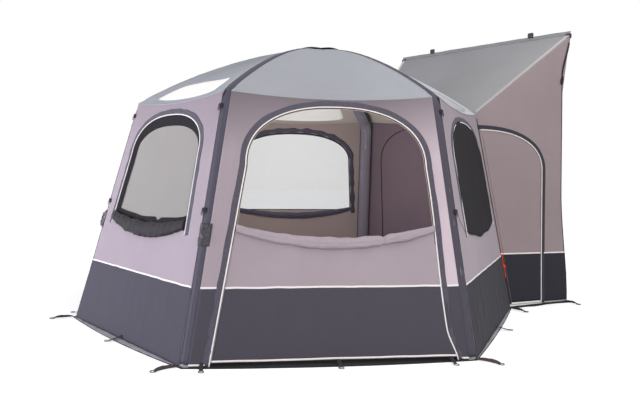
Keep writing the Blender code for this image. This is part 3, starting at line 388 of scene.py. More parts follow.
# Painted light: the sleeve's inner face glows a little.
INNER_BEAM = cloth("inner_beam_face", "#7D7681", pitch=0.0016, weave=0.0003, pucker=0.003, pucker_scale=12.0,
                   glow=0.06)
BINDING = cloth("slate_binding", "#4B4857", pitch=0.001, weave=0.0002, pucker=0.012, pucker_scale=34.0,
                rough=0.5, sheen=0.0, specular=0.35)
DARK = cloth("near_black_cover", "#2E2D2F", pitch=0.001, pucker=0.003, pucker_scale=14.0, sheen=0.0,
             specular=0.04)
ROLLED = cloth("dark_rolled_cover", "#2E2A30", pitch=0.001, pucker=0.006, pucker_scale=52.0, rough=0.5,
               specular=0.12, sheen=0.0)
VINYL = cloth("crumpled_vinyl", "#302E39", pitch=0.0008, pucker=0.018, pucker_scale=26.0, rough=0.3,
              sheen=0.0, specular=0.5)
GROUND = cloth("groundsheet", "#303335", pitch=0.0025, weave=0.0005, pucker=0.003, sheen=0.0, specular=0.06)
WHITE_TAPE = cloth("white_piping", "#F4F1EF", low=0.94, high=1.0, pitch=0.0008, pucker=0.0005,
                   pucker_scale=60.0, rough=0.5)
LIGHT_TAPE = cloth("light_roof_tape", "#C2C1BD", low=0.94, high=1.03, pitch=0.0008, pucker=0.0005,
                   pucker_scale=60.0)
PALE_FLAP = cloth("pale_foot_flap", "#A9A8AE", pitch=0.001, pucker=0.003, pucker_scale=14.0)
STRAP = cloth("brown_strap", "#4A4144", pitch=0.002, weave=0.0008, pucker=0.001, rough=0.66)
BEIGE_TAPE = cloth("beige_edge_tape", "#B8AA9E", pitch=0.0008, pucker=0.0005, pucker_scale=60.0)
DARK_BINDING = cloth("dark_binding", "#3A3842", pitch=0.001, weave=0.0002, pucker=0.004, pucker_scale=40.0)
ZIP_TAPE = cloth("dark_zip_tape", "#33292D", pitch=0.0006, pucker=0.0005, pucker_scale=60.0)
WEBBING = cloth("black_webbing", "#2B292C", pitch=0.002, weave=0.0008, pucker=0.001, rough=0.66)
# Painted light: the orange cord glows a little, so that it stays bright in its shade.
ORANGE = cloth("orange_cord", "#F0480E", pitch=0.0012, weave=0.0005, pucker=0.0004, pucker_scale=80.0,
               rough=0.55, glow=0.35)
print("cloths:", len(bpy.data.materials) - 1)

# %% [markdown]
# Film and plastic
#
# The panes are soft vinyl film. It is clear enough to see through, it is a little wavy, and it has a
# shine. The skylights are the same film with a white haze; a painted glow stands in for the daylight
# they pass on, and the right rear one is a darker copy, in painted shade. The valves, the clips and
# the runner are moulded plastic with a fine grain, and the zip sliders and peg rings are steel. Both
# are paler where hands have worn them.

# %% Film and plastic materials
def film(name, code, alpha, rough=0.12, glow=0.0, wave=0.004):
    """Soft clear film: a tone, a shine, and the slow waves of unrolled vinyl."""
    material, tree, shader, coords = new_material(name)
    place = coords.outputs["Object"]
    haze = add_node(tree, "ShaderNodeTexNoise", Vector=place, Scale=4.0, Detail=3.0)
    mix = add_node(tree, "ShaderNodeMix", {"data_type": "RGBA"}, _0=haze.outputs["Fac"],
                   _6=paint(code, 0.95), _7=paint(code, 1.04))
    tree.links.new(mix.outputs[2], shader.inputs["Base Color"])
    slow = add_node(tree, "ShaderNodeTexNoise", Vector=place, Scale=3.0, Detail=2.0)
    bump = add_node(tree, "ShaderNodeBump", Height=slow.outputs["Fac"], Strength=0.6, Distance=wave)
    tree.links.new(bump.outputs[0], shader.inputs["Normal"])
    shader.inputs["Roughness"].default_value = rough
    shader.inputs["Alpha"].default_value = alpha
    shader.inputs["Specular IOR Level"].default_value = 0.5
    # Painted light: a glow in the film's own colour, where glow is set.
    tree.links.new(mix.outputs[2], shader.inputs["Emission Color"])
    shader.inputs["Emission Strength"].default_value = glow
    return material


def moulded(name, code, rough=0.42, metallic=0.0, worn=1.6):
    """Moulded or cast piece: a fine grain, and paler wear where the noise peaks."""
    material, tree, shader, coords = new_material(name)
    place = coords.outputs["Object"]
    wear = add_node(tree, "ShaderNodeTexNoise", Vector=place, Scale=90.0, Detail=5.0)
    peak = add_node(tree, "ShaderNodeMapRange", Value=wear.outputs["Fac"], From_Min=0.55, From_Max=0.8)
    mix = add_node(tree, "ShaderNodeMix", {"data_type": "RGBA"}, _0=peak.outputs[0],
                   _6=paint(code), _7=paint(code, worn))
    tree.links.new(mix.outputs[2], shader.inputs["Base Color"])
    grain = add_node(tree, "ShaderNodeTexNoise", Vector=place, Scale=1400.0, Detail=2.0)
    bump = add_node(tree, "ShaderNodeBump", Height=grain.outputs["Fac"], Strength=0.4, Distance=0.0002)
    tree.links.new(bump.outputs[0], shader.inputs["Normal"])
    shader.inputs["Roughness"].default_value = rough
    shader.inputs["Metallic"].default_value = metallic
    return material


PANE = film("window_film", "#ABAAA7", alpha=0.55)
REAR_PANE = film("clear_window_film", "#BFC2C3", alpha=0.27)
# Painted light: the skylight film glows, for the daylight it passes on. Painted shade: the right rear
# skylight is a darker copy with hardly any glow.
SKYLIGHT = film("skylight_film", "#D4D2CF", alpha=1.0, rough=0.5, glow=0.38)
SKYLIGHT_PAINTED_SHADE = film("skylight_film_rear", "#B4B5B9", alpha=1.0, rough=0.4, glow=0.02)
BLACK_PLASTIC = moulded("black_plastic", "#1A1A1E")
BROWN_PLASTIC = moulded("brown_toggle", "#5A4038", rough=0.4)
STEEL = moulded("dark_steel", "#54565C", rough=0.35, metallic=0.85)
ORANGE_PLASTIC = moulded("orange_plastic", "#F0480E", rough=0.45, worn=1.1)
BLADDER = moulded("air_bladder", "#8E9296", rough=0.4)

# %% [markdown]
# Surfaces from grids
#
# Nearly every piece here is a grid of points: rows one way, columns the other. This cell turns such
# grids into a mesh in one go. It also lays out a UV map that is true in metres, by adding up the
# lengths between the rows and between the columns, so the weave has the same size everywhere. Points
# that fall on each other at a seam or a pole are merged, so that a tube is truly closed.

# %% Grid helpers
WELD = 1e-5
SHORTEST = 1e-12
WAVE_SPREAD = (0.6, 1.7)
AWNING = "awning"


def grid_faces(rows, columns):
    """Corner numbers of every cell: (row, column), next column, next of both, next row."""
    row = np.arange(rows - 1)[:, None] * columns
    start = row + np.arange(columns - 1)[None, :]
    return np.stack((start, start + 1, start + 1 + columns, start + columns), axis=-1).reshape(-1, 4)


def grid_places(grid):
    """Place of each point on the cloth: mean length added up along the row, and down the column."""
    along = np.linalg.norm(np.diff(grid, axis=1), axis=2).mean(axis=0)
    down = np.linalg.norm(np.diff(grid, axis=0), axis=2).mean(axis=1)
    across = np.concatenate(([0.0], np.cumsum(along)))
    deep = np.concatenate(([0.0], np.cumsum(down)))
    return np.stack(np.meshgrid(across, deep), axis=-1)


def grid_area(grid):
    """Area of a grid: half the cross product of each cell's two diagonals, added up."""
    first = grid[1:, 1:] - grid[:-1, :-1]
    second = grid[1:, :-1] - grid[:-1, 1:]
    return float(np.linalg.norm(np.cross(first, second), axis=2).sum() / 2)


def weld(mesh, closed):
    """Merge the points of seams and poles, and turn a closed mesh's faces outwards."""
    work = bmesh.new()
    work.from_mesh(mesh)
    bmesh.ops.remove_doubles(work, verts=work.verts, dist=WELD)
    if closed:
        bmesh.ops.recalc_face_normals(work, faces=work.faces)
    work.to_mesh(mesh)
    work.free()


CUT_SIZES = {}
LEAST_COVER = 0.32


def make_piece(name, grids, finishes, slot, body=AWNING, places=None, thickness=0.0, grow=1.0,
               closed=False, finish_numbers=None):
    """One mesh from a list of grids. A sheet gets its thickness, and its inner face the last finish."""
    places = [grid_places(grid) for grid in grids] if places is None else places
    CUT_SIZES[name] = (float(sum(np.ptp(place[..., 0]) for place in places)),
                       float(max(np.ptp(place[..., 1]) for place in places)))
    points, faces, maps, start = [], [], [], 0
    for index, grid in enumerate(grids):
        rows, columns = grid.shape[:2]
        cells = grid_faces(rows, columns)
        points.append(grid.reshape(-1, 3))
        faces.append(cells + start)
        maps.append(places[index].reshape(-1, 2))
        start += rows * columns
    points, faces, maps = np.concatenate(points), np.concatenate(faces), np.concatenate(maps)
    mesh = bpy.data.meshes.new(name)
    mesh.vertices.add(len(points))
    mesh.vertices.foreach_set("co", points.astype(np.float32).ravel())
    mesh.loops.add(faces.size)
    mesh.loops.foreach_set("vertex_index", faces.astype(np.int32).ravel())
    mesh.polygons.add(len(faces))
    mesh.polygons.foreach_set("loop_start", np.arange(0, faces.size, 4, dtype=np.int32))
    mesh.update(calc_edges=True)
    if finish_numbers is not None:
        cells = [(grid.shape[0] - 1) * (grid.shape[1] - 1) for grid in grids]
        mesh.polygons.foreach_set("material_index", np.repeat(finish_numbers, cells).astype(np.int32))
    layer = mesh.uv_layers.new(name="cloth")
    layer.data.foreach_set("uv", maps[faces.ravel()].astype(np.float32).ravel())
    weld(mesh, closed)
    mesh.shade_smooth()
    piece = bpy.data.objects.new(name, mesh)
    bpy.context.scene.collection.objects.link(piece)
    finishes = finishes if isinstance(finishes, (list, tuple)) else [finishes]
    for finish in finishes:
        mesh.materials.append(finish)
    if thickness:
        step = piece.modifiers.new("thickness", "SOLIDIFY")
        step.thickness = thickness
        step.offset = grow
        step.use_even_offset = False
        step.material_offset = len(finishes) - 1
    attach(piece, body)
    return piece


def declare_sheet(piece, grids):
    """Work out a piece's cloth: as wide and long as its UV maps, and as large as its grids. Nothing is
    done with the result.

    A frame round a doorway has little cloth in its outline, so it counts as a shorter sheet."""
    area = sum(grid_area(grid) for grid in grids)
    wide, long = CUT_SIZES[piece.name]
    long = np.clip(long, area / wide, area / (wide * LEAST_COVER))


def make_sheet(name, grids, finishes, slot, held, rests_on, replaced=None, **options):
    """A piece of cloth, in the place of a solid if it has one."""
    piece = make_piece(name, grids, finishes, slot, **options)
    if replaced:
        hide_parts(replaced)
    declare_sheet(piece, grids)
    return piece


def make_trim(name, grids, finish, slot="wall_fabric", body=AWNING):
    """A closed tape, seam, cord or ring."""
    return make_piece(name, grids, finish, slot, body, closed=True)


def ripple(x, y, seed, wave, count=9):
    """Unevenness near -1 to 1: seeded sine waves of all directions, about one wave long each."""
    random = np.random.default_rng(seed)
    total = 0.0
    for _ in range(count):
        turn = random.uniform(0, math.tau)
        length = wave * random.uniform(*WAVE_SPREAD)
        phase = random.uniform(0, math.tau)
        total = total + np.sin((x * math.cos(turn) + y * math.sin(turn)) * math.tau / length + phase)
    return total / math.sqrt(count)


def smooth_step(value, low, high):
    """0 below low, 1 above high, and a smooth rise between."""
    share = np.clip((value - low) / (high - low), 0, 1)
    return share * share * (3 - 2 * share)


# %% [markdown]
# Sweeps
#
# Piping, tapes, bindings, cords and beam sleeves are all the same idea: a small outline carried along
# a line. The outline lies in two directions, across the line and out from the cloth, so a tape stays
# flat on its wall while it runs round an arch. Both ends are drawn together to a point, which closes
# the piece.

# %% Sweep helpers
# How square an outline is: the power of its superellipse.
ROUND = 2.0
SOFT = 3.0
SQUARE = 4.0
FLAT = 5.0


def oval(width, height, power=ROUND, count=12):
    """Outline of a band: a circle, squarer with a higher power, as wide and high as asked."""
    angle = np.linspace(0, math.tau, count + 1)
    cosine, sine = np.cos(angle), np.sin(angle)
    x = np.sign(cosine) * np.abs(cosine) ** (2 / power) * width / 2
    y = np.sign(sine) * np.abs(sine) ** (2 / power) * height / 2
    return np.stack((x, y), axis=-1)


def unit(vectors):
    """Vectors of length 1 in the same directions."""
    return vectors / np.maximum(np.linalg.norm(vectors, axis=-1, keepdims=True), SHORTEST)


def sweep(path, out, outline, scale=None, loop=False):
    """Point = path + across * x + out * y, with across square to the path and to out."""
    path = np.asarray(path, float)
    if loop:
        tangent = unit(np.roll(path[:-1], -1, axis=0) - np.roll(path[:-1], 1, axis=0))
        tangent = np.concatenate((tangent, tangent[:1]))
    else:
        tangent = unit(np.gradient(path, axis=0))
    out = np.broadcast_to(np.asarray(out, float), path.shape)
    out = unit(out - tangent * (out * tangent).sum(axis=1, keepdims=True))
    across = np.cross(tangent, out)
    x, y = outline[..., 0], outline[..., 1]
    x, y = x[None, :], y[None, :]
    if scale is not None:
        x, y = x * scale[:, None], y * scale[:, None]
    grid = path[:, None] + across[:, None] * x[..., None] + out[:, None] * y[..., None]
    return grid if loop else closed_ends(grid)


def closed_ends(grid):
    """The same tube with one more row at each end, drawn together to the middle of that end."""
    first = np.broadcast_to(grid[:1].mean(axis=1, keepdims=True), grid[:1].shape)
    last = np.broadcast_to(grid[-1:].mean(axis=1, keepdims=True), grid[-1:].shape)
    return np.concatenate((first, grid, last))


def resample(line, count, loop=False):
    """The same line with evenly spaced points."""
    line = np.asarray(line, float)
    if loop:
        line = np.concatenate((line, line[:1]))
    steps = np.concatenate(([0.0], np.cumsum(np.linalg.norm(np.diff(line, axis=0), axis=1))))
    wanted = np.linspace(0, steps[-1], count)
    return np.stack([np.interp(wanted, steps, line[:, axis]) for axis in range(line.shape[1])], axis=-1)


# %% [markdown]
# The leaning walls
#
# Each wall is a flat plane that leans inwards. It has its own x to the right and y up the slope, so
# an arch or a tape is drawn flat and then laid on the plane. The beams stand in the corners: a point
# of a beam is worked out from a number that runs along it, through the leg, round the knee and up
# the roof rib to the crown.

# %% Walls and beams as functions
WALLS = {
    # name: azimuth of the outward normal, distance from the middle at the ground and at the eaves
    "front": (-90.0, 1.751, 1.293),
    "right_front": (-31.2, 1.725, 1.291),
    "right_rear": (28.0, 1.725, 1.361),
    "inner": (90.0, 1.727, 1.495),
    "left_rear": (152.0, 1.725, 1.361),
    "left_front": (211.2, 1.725, 1.291),
}
CORNERS = ("front_right", "right", "rear_right", "rear_left", "left", "front_left")
EAVES_HEIGHT = 1.84
MUD_WALL_HEIGHT = 0.50
EAVES_SAG = 0.045
GAP = 0.0003
FABRIC = 0.002
BAND_LIFT = 0.0005
GROUND_FABRIC = 0.003
SLEEVE_RADIUS = 0.068
KNEE_HEIGHT = 1.806
KNEE_REACH = 0.07
CROWN_SHIFT = 0.138
CROWN_HEIGHT = 2.386
RIDGE_POWER = 1.7
RIDGE_SHARES = (0.78, 0.64, 0.5, 0.36, 0.24)
SLEEVE_END = 0.165
LEG_INDEX = 1.0
KNEE_INDEX = 5.0
CROWN_INDEX = 11.0
SEAM_INDEX = 4.0
EDGE_TURN = math.radians(30)
LEG_ENDS = (0.0, 0.9)


def on_arrays(function):
    """Let a function of a flat list of numbers take arrays of any shape."""
    def shaped(corner, index, *rest):
        index = np.asarray(index, float)
        rest = [np.broadcast_to(value, index.shape).ravel() for value in rest]
        return function(corner, index.ravel(), *rest).reshape(*index.shape, 3)
    return shaped


class Wall:
    """A leaning plane: x to the right as seen from outside, y up the slope, out along its normal."""

    def __init__(self, name, azimuth, ground, eaves):
        angle = math.radians(azimuth)
        outward = np.array((math.cos(angle), math.sin(angle), 0.0))
        self.name = name
        self.origin = outward * ground
        self.right = np.array((-math.sin(angle), math.cos(angle), 0.0))
        rise = outward * (eaves - ground) + np.array((0.0, 0.0, EAVES_HEIGHT))
        self.slope_length = float(np.linalg.norm(rise))
        self.up = rise / self.slope_length
        self.normal = np.cross(self.right, self.up)
        self.floor = (GROUND_FABRIC + GAP) / self.up[2]
        self.mud = MUD_WALL_HEIGHT / self.up[2]

    def at(self, x, y, out=0.0):
        """Point over flat x and y, lifted off the plane."""
        x, y, out = np.broadcast_arrays(x, y, out)
        return self.origin + x[..., None] * self.right + y[..., None] * self.up + out[..., None] * self.normal

    def local(self, point):
        """Flat x and y of a point."""
        offset = point - self.origin
        return np.stack((offset @ self.right, offset @ self.up), axis=-1)


walls = [Wall(name, *values) for name, values in WALLS.items()]
by_name = {wall.name: wall for wall in walls}


def meet(corner, height, inset):
    """Point at a height where the two planes of a corner meet, both moved in by the inset."""
    pair = (walls[corner], walls[(corner + 1) % 6])
    rows = np.array([wall.normal for wall in pair] + [(0.0, 0.0, 1.0)])
    sums = [wall.normal @ wall.origin - inset for wall in pair] + [height]
    return np.linalg.solve(rows, sums)


CROWN = np.array((0.0, CROWN_SHIFT, CROWN_HEIGHT - SLEEVE_RADIUS))


def beam_points(corner, index):
    """Middle line of a beam. 0 to 1 is the leg, 1 to 5 the bent knee, 5 to 11 the roof rib."""
    index = np.atleast_1d(np.asarray(index, float))
    inset = SLEEVE_RADIUS + GAP
    foot = meet(corner, 0.0, inset)
    knee = meet(corner, KNEE_HEIGHT, inset)
    span = np.linalg.norm(knee - CROWN)
    low = knee - unit(knee - foot) * KNEE_REACH

    def ridge(share):
        line = CROWN + (knee - CROWN) * share[:, None]
        line[:, 2] = CROWN[2] - (CROWN[2] - knee[2]) * share ** RIDGE_POWER
        return line

    high = ridge(np.array([1 - KNEE_REACH / span]))[0]
    t = np.clip((index - LEG_INDEX) / (KNEE_INDEX - LEG_INDEX), 0, 1)[:, None]
    bend = (1 - t) ** 2 * low + 2 * t * (1 - t) * knee + t ** 2 * high
    leg = foot + (low - foot) * np.clip(index, 0, 1)[:, None]
    shares = (1 - KNEE_REACH / span, *RIDGE_SHARES, SLEEVE_END / span)
    rib = ridge(np.interp(index, np.arange(KNEE_INDEX, CROWN_INDEX + 1), shares))
    return np.where((index < LEG_INDEX)[:, None], leg, np.where((index <= KNEE_INDEX)[:, None], bend, rib))


def beam_frames(corner, index):
    """Middle, along, across and outward of a beam at each index. Across is level."""
    step = 0.02
    index = np.atleast_1d(np.asarray(index, float))
    middle = beam_points(corner, index)
    ahead = beam_points(corner, np.minimum(index + step, CROWN_INDEX))
    behind = beam_points(corner, np.maximum(index - step, 0))
    along = unit(ahead - behind)
    across = unit(np.cross(along, (0.0, 0.0, 1.0)))
    return middle, along, across, np.cross(across, along)


@on_arrays
def beam_spot(corner, index, turn, radius):
    """Point beside a beam's middle line, turned from its outermost line."""
    middle, _, across, out = beam_frames(corner, index)
    return middle + radius[:, None] * (out * np.cos(turn)[:, None] + across * np.sin(turn)[:, None])


def wall_edge(wall, side):
    """Edge of a wall panel beside its beam, as x for each y: the straight line of the leg."""
    number = walls.index(wall)
    corner = number if side > 0 else (number - 1) % 6
    low, high = wall.local(beam_spot(corner, LEG_ENDS, -side * EDGE_TURN, SLEEVE_RADIUS))
    return lambda y: low[0] + (high[0] - low[0]) * (np.asarray(y) - low[1]) / (high[1] - low[1])


def seam_y(wall, x):
    """Height up the slope of the seam with the roof, which sags between the beams."""
    left, right = wall_edge(wall, -1)(wall.slope_length), wall_edge(wall, 1)(wall.slope_length)
    share = (x - left) / (right - left)
    return wall.slope_length - EAVES_SAG * 4 * share * (1 - share)


for wall in walls:
    width = float(wall_edge(wall, 1)(0) - wall_edge(wall, -1)(0))
    print(wall.name, "is", round(width, 3), "m wide at the floor")

# %% [markdown]
# Arches
#
# The doors and windows are the same shape at other sizes: straight sides that lean together, and a
# top between a circle and a box, which is called a superellipse. One function gives its outline,
# another fills it with a grid, and both can grow or shrink it, so a binding can be laid round it.

# %% Arch functions
ARCH_POWER = 2.35
WINDOWS = {
    "front": dict(sill=0.88, spring=1.45, top=1.755, low=0.62, high=0.55, lean=(-0.02, -0.02)),
    "right_rear": dict(sill=0.85, spring=1.40, top=1.735, low=0.68, high=0.64, lean=(0.15, 0.14)),
    "left_rear": dict(sill=0.85, spring=1.40, top=1.735, low=0.68, high=0.64, lean=(-0.15, -0.14)),
}
DOORS = {
    "right_front": dict(sill=0.0, spring=1.35, top=1.784, low=0.84, high=0.64, lean=(0.01, 0.05)),
    "left_front": dict(sill=0.0, spring=1.35, top=1.784, low=0.84, high=0.64, lean=(-0.01, -0.05)),
    "inner": dict(sill=0.0, spring=1.35, top=1.76, low=0.68, high=0.59, lean=(0.0, 0.0)),
}
OPENINGS = WINDOWS | DOORS


def side_x(shape, side, y, grow=0.0):
    """A straight side of an opening, as x for each y."""
    share = (np.asarray(y) - shape["sill"]) / (shape["spring"] - shape["sill"])
    half = shape["low"] + (shape["high"] - shape["low"]) * share + grow
    return shape["lean"][0] + (shape["lean"][1] - shape["lean"][0]) * share + side * half


def arch_line(shape, grow=0.0, bottom=None, count=121, sides=40):
    """Outline from the right foot over the top to the left foot, grown outwards."""
    low = shape["sill"] - grow if bottom is None else bottom
    angle = np.linspace(0, math.pi, count)
    cosine = np.cos(angle)
    radius = shape["high"] + grow
    x = shape["lean"][1] + radius * np.sign(cosine) * np.abs(cosine) ** (2 / ARCH_POWER)
    y = shape["spring"] + (shape["top"] + grow - shape["spring"]) * np.sin(angle) ** (2 / ARCH_POWER)
    up = np.linspace(low, shape["spring"], sides, endpoint=False)
    right = np.stack((side_x(shape, 1, up, grow), up), axis=-1)
    left = np.stack((side_x(shape, -1, up, grow), up), axis=-1)[::-1]
    return np.concatenate((right, np.stack((x, y), axis=-1), left))


def arch_fill(shape, grow, low, rows=44, columns=49, power=1.6):
    """Grid of (x, y) that fills an arch: rows from a low line up to the top, columns across."""
    top = shape["top"] + grow
    rise = top - shape["spring"]
    travel = 1 - (1 - np.linspace(0, 1, rows)) ** power
    across = np.linspace(-1, 1, columns)
    base = low(across) if callable(low) else np.full(columns, low)
    y = base[None, :] + (top - base[None, :]) * travel[:, None]
    over = np.clip((y - shape["spring"]) / rise, 0, 1)
    shrink = np.where(over >= 1, 0.0, (1 - over ** ARCH_POWER) ** (1 / ARCH_POWER))
    level = np.minimum(y, shape["spring"])
    right, left = side_x(shape, 1, level, grow), side_x(shape, -1, level, grow)
    middle, half = (right + left) / 2, (right - left) / 2 * shrink
    return middle + half * across[None, :], y


def ray_lengths(line, centre, angles, closed):
    """Distance from the centre to a line round it, along each angle, read between its points."""
    offset = line - centre
    turn = np.arctan2(offset[:, 1], offset[:, 0])
    length = np.hypot(offset[:, 0], offset[:, 1])
    if closed:
        return np.interp(angles, turn, length, period=math.tau)
    turn = np.where(turn < -math.pi / 2, turn + math.tau, turn)
    order = np.argsort(turn)
    return np.interp(angles, turn[order], length[order])


# %% [markdown]
# The walls
#
# A wall has a hole in it, for its door or window. A plain grid would cut a hole with a jagged edge, so
# the rows of this grid run round the hole instead: the first row is the arch, the last row is the
# panel's border, and those between are a smooth change from one to the other. Stretched cloth is
# never quite flat, so soft puckers push it in and out by a few millimetres, and fade away where it is
# sewn.

# %% Wall panels
WALL_RINGS = 30
WALL_RING_POWER = 1.15
WINDOW_RAYS = 240
DOOR_RAYS = 200
BORDER_STEPS = 90
PUCKER = 0.0022
SEWN_WIDTH = 0.05
PUCKER_FADE = 0.16
PUCKER_WAVE = 0.5
DRAWN = dict(share=0.6, across=3.0, up=0.6, wave=0.6)
MUD_CLEAR = 0.03
MUD_FADE = 0.2


def border_line(wall, floor):
    """Border of a panel from its right foot up the beam, along the seam and down to its left foot."""
    left, right = wall_edge(wall, -1), wall_edge(wall, 1)
    start, end = left(wall.slope_length), right(wall.slope_length)
    up = np.linspace(floor, wall.slope_length, BORDER_STEPS)
    seam = np.linspace(end, start, BORDER_STEPS)
    pieces = [
        np.stack((right(up), up), axis=-1),
        np.stack((seam, seam_y(wall, seam)), axis=-1)[1:],
        np.stack((left(up), up), axis=-1)[::-1][1:],
    ]
    corners = np.array([(right(floor), floor), (end, wall.slope_length),
                        (start, wall.slope_length), (left(floor), floor)])
    return np.concatenate(pieces), corners


def wall_grid(wall, shape, closed):
    """Rings of (x, y) between an opening and the panel's border, and how far each is from both."""
    line, corners = border_line(wall, wall.floor)
    if closed:
        low = shape["sill"]
        bottom_x = np.linspace(side_x(shape, -1, low), side_x(shape, 1, low), BORDER_STEPS)
        bottom = np.stack((bottom_x, np.full(BORDER_STEPS, low)), axis=-1)
        opening = np.concatenate((arch_line(shape), bottom[1:-1]))
        floor_line = np.linspace(0, 1, BORDER_STEPS)[1:-1, None]
        line = np.concatenate((line, corners[3] + (corners[0] - corners[3]) * floor_line))
        centre = np.array((shape["lean"][1], (shape["sill"] + shape["spring"]) / 2))
        special = np.concatenate((corners, [opening[0], arch_line(shape)[-1]])) - centre
        base = np.linspace(-math.pi, math.pi, WINDOW_RAYS + 1)
        extra = np.arctan2(special[:, 1], special[:, 0])
    else:
        opening = arch_line(shape, bottom=wall.floor)
        centre = np.array((shape["lean"][0], wall.floor))
        base = np.linspace(0, math.pi, DOOR_RAYS + 1)
        extra = np.clip(np.arctan2(corners[:, 1] - wall.floor, corners[:, 0] - centre[0]), 0, math.pi)
    angles = np.unique(np.concatenate((base, extra)))[::-1]
    inner = ray_lengths(opening, centre, angles, closed)
    outer = ray_lengths(line, centre, angles, closed)
    share = np.linspace(0, 1, WALL_RINGS)[:, None] ** WALL_RING_POWER
    reach = inner + (outer - inner) * share
    x = centre[0] + np.cos(angles) * reach
    y = centre[1] + np.sin(angles) * reach
    return x, y, np.minimum(reach - inner, outer - reach)


def above_mud(y, mud, fade=MUD_FADE):
    """0 where the mud wall is sewn over the cloth, and 1 well above it."""
    return smooth_step(y, mud + MUD_CLEAR, mud + fade)


def wall_relief(wall, x, y, free):
    """How far the cloth stands off its plane: puckers, and folds that run down from the eaves."""
    seed = 20 + walls.index(wall)
    fade = smooth_step(free, SEWN_WIDTH, SEWN_WIDTH + PUCKER_FADE) * above_mud(y, wall.mud)
    drawn = DRAWN["share"] * ripple(x * DRAWN["across"], y * DRAWN["up"], seed + 50, DRAWN["wave"])
    return PUCKER * fade * (ripple(x, y, seed, PUCKER_WAVE) + drawn)


for wall in walls:
    name = "wall_" + wall.name
    closed = wall.name in WINDOWS
    shape = OPENINGS[wall.name]
    x, y, free = wall_grid(wall, shape, closed)
    grid = wall.at(x, y, wall_relief(wall, x, y, free))
    # The door's wall takes the copy of the wall cloth with painted shade and light.
    outside = WALL_DOOR_LIGHT_AND_SHADE if wall.name == "right_front" else WALL
    finishes = [outside, INNER_LINING if wall.name == "inner" else LINING]
    make_sheet(name + "_cloth", [grid], finishes, "wall_fabric", "stretched",
               ["beam_sleeve_" + CORNERS[walls.index(wall)]], name,
               places=[np.stack((x, y), axis=-1)], thickness=FABRIC)
    print(name, "has", grid.shape[0] * grid.shape[1], "points")

# %% [markdown]
# The mud walls
#
# The lowest half metre is a heavier, coated cloth that takes the splashes. It is sewn over the wall
# as a band, with a white tape along its upper edge. Beside a door it is in two parts. It isn't
# stretched as tightly as the wall, so it gets stronger folds, nearly upright ones.

# %% Mud walls and the tape above them
MUD_ROWS = 26
MUD_FABRIC = 0.001
MUD_FOLD = 0.0035
FOLD_SHARE = 0.45
FOLD_WAVES = (0.28, 0.16)
FOLD_RANGE = (-1.2, 1.6)
FULLNESS = 0.7
MUD_CELL = 0.014
DOOR_GAP = 0.002
TAPE_WIDTH = 0.013
TAPE_THICK = 0.0022
TAPE_LIFT = 0.0015
TAPE_TREMBLE = 0.0012
TAPE_WAVE = 0.2


def fold_relief(x, y, low, high, seed, size=MUD_FOLD):
    """Upright folds that start and end at the band's edges, never under the wall's face."""
    share = np.clip((y - low) / (high - low), 0, 1)
    fade = np.sin(math.pi * share) ** FULLNESS
    upright = ripple(x * 1.6 + 0.1 * y, y * 0.35, seed, FOLD_WAVES[0])
    waves = upright + 0.6 * ripple(x, y, seed + 7, FOLD_WAVES[1])
    return size * fade * (1 - FOLD_SHARE + FOLD_SHARE * np.clip(waves, *FOLD_RANGE))


def band_grid(wall, left, right, low, high, columns, seed, lift):
    """Grid of a band between two edges, which are x as functions of y."""
    y = np.linspace(low, high, MUD_ROWS)[:, None]
    across = np.linspace(0, 1, columns)[None, :]
    x = left(y) + (right(y) - left(y)) * across
    y = np.broadcast_to(y, x.shape)
    return x, y, wall.at(x, y, lift + fold_relief(x, y, low, high, seed))


def flat_line(wall, x, y, lift, width, thick, power=SQUARE, scale=None):
    """Band along a line on a wall, on its outer or, for a lift below zero, its inner face."""
    return sweep(wall.at(np.asarray(x), np.asarray(y), lift), wall.normal, oval(width, thick, power), scale)


def wall_spans(wall):
    """Free stretches of a wall beside its door, or all of it."""
    left, right = wall_edge(wall, -1), wall_edge(wall, 1)
    if wall.name not in DOORS:
        return [(left, right)]
    shape = DOORS[wall.name]
    return [(left, lambda y: side_x(shape, -1, y, DOOR_GAP)),
            (lambda y: side_x(shape, 1, y, DOOR_GAP), right)]


def mud_tape(wall, left, right, columns, seed):
    """White tape along the upper edge of a mud wall, sewn on a little unevenly."""
    run = np.linspace(left(wall.mud), right(wall.mud), columns)
    height = wall.mud + TAPE_TREMBLE * ripple(run, 0, seed, TAPE_WAVE)
    return flat_line(wall, run, height, FABRIC + TAPE_LIFT, TAPE_WIDTH, TAPE_THICK)


for number, wall in enumerate(walls):
    grids, places, tapes = [], [], []
    for part, (left, right) in enumerate(wall_spans(wall)):
        wide = float(right(wall.mud) - left(wall.mud))
        columns = max(8, int(wide / MUD_CELL))
        x, y, grid = band_grid(wall, left, right, wall.floor + MUD_FABRIC, wall.mud, columns,
                               90 + number * 2 + part, FABRIC + BAND_LIFT)
        grids.append(grid)
        places.append(np.stack((x, y), axis=-1))
        tapes.append(mud_tape(wall, left, right, columns, 140 + number))
    # The right rear mud wall takes the copy with painted shade.
    finish = MUD_PAINTED_SHADE if wall.name == "right_rear" else MUD
    make_sheet("mud_wall_" + wall.name, grids, finish, "wall_fabric", "hung", ["wall_" + wall.name],
               places=places, thickness=MUD_FABRIC)
    make_trim("mud_tape_" + wall.name, tapes, WHITE_TAPE)
print("mud walls are", MUD_WALL_HEIGHT, "m high")

# %% [markdown]
# The air beams
#
# A beam is a bladder in a sleeve of heavy cloth. The sleeve is a plain round tube here, but along
# both sides runs a felled seam where the wall is sewn on. A sleeve that is blown up hard has fine
# creases where it bends, so the radius shrinks a little in waves round the knee. Its inner face is
# paler than the outer one, so one mesh has two finishes.

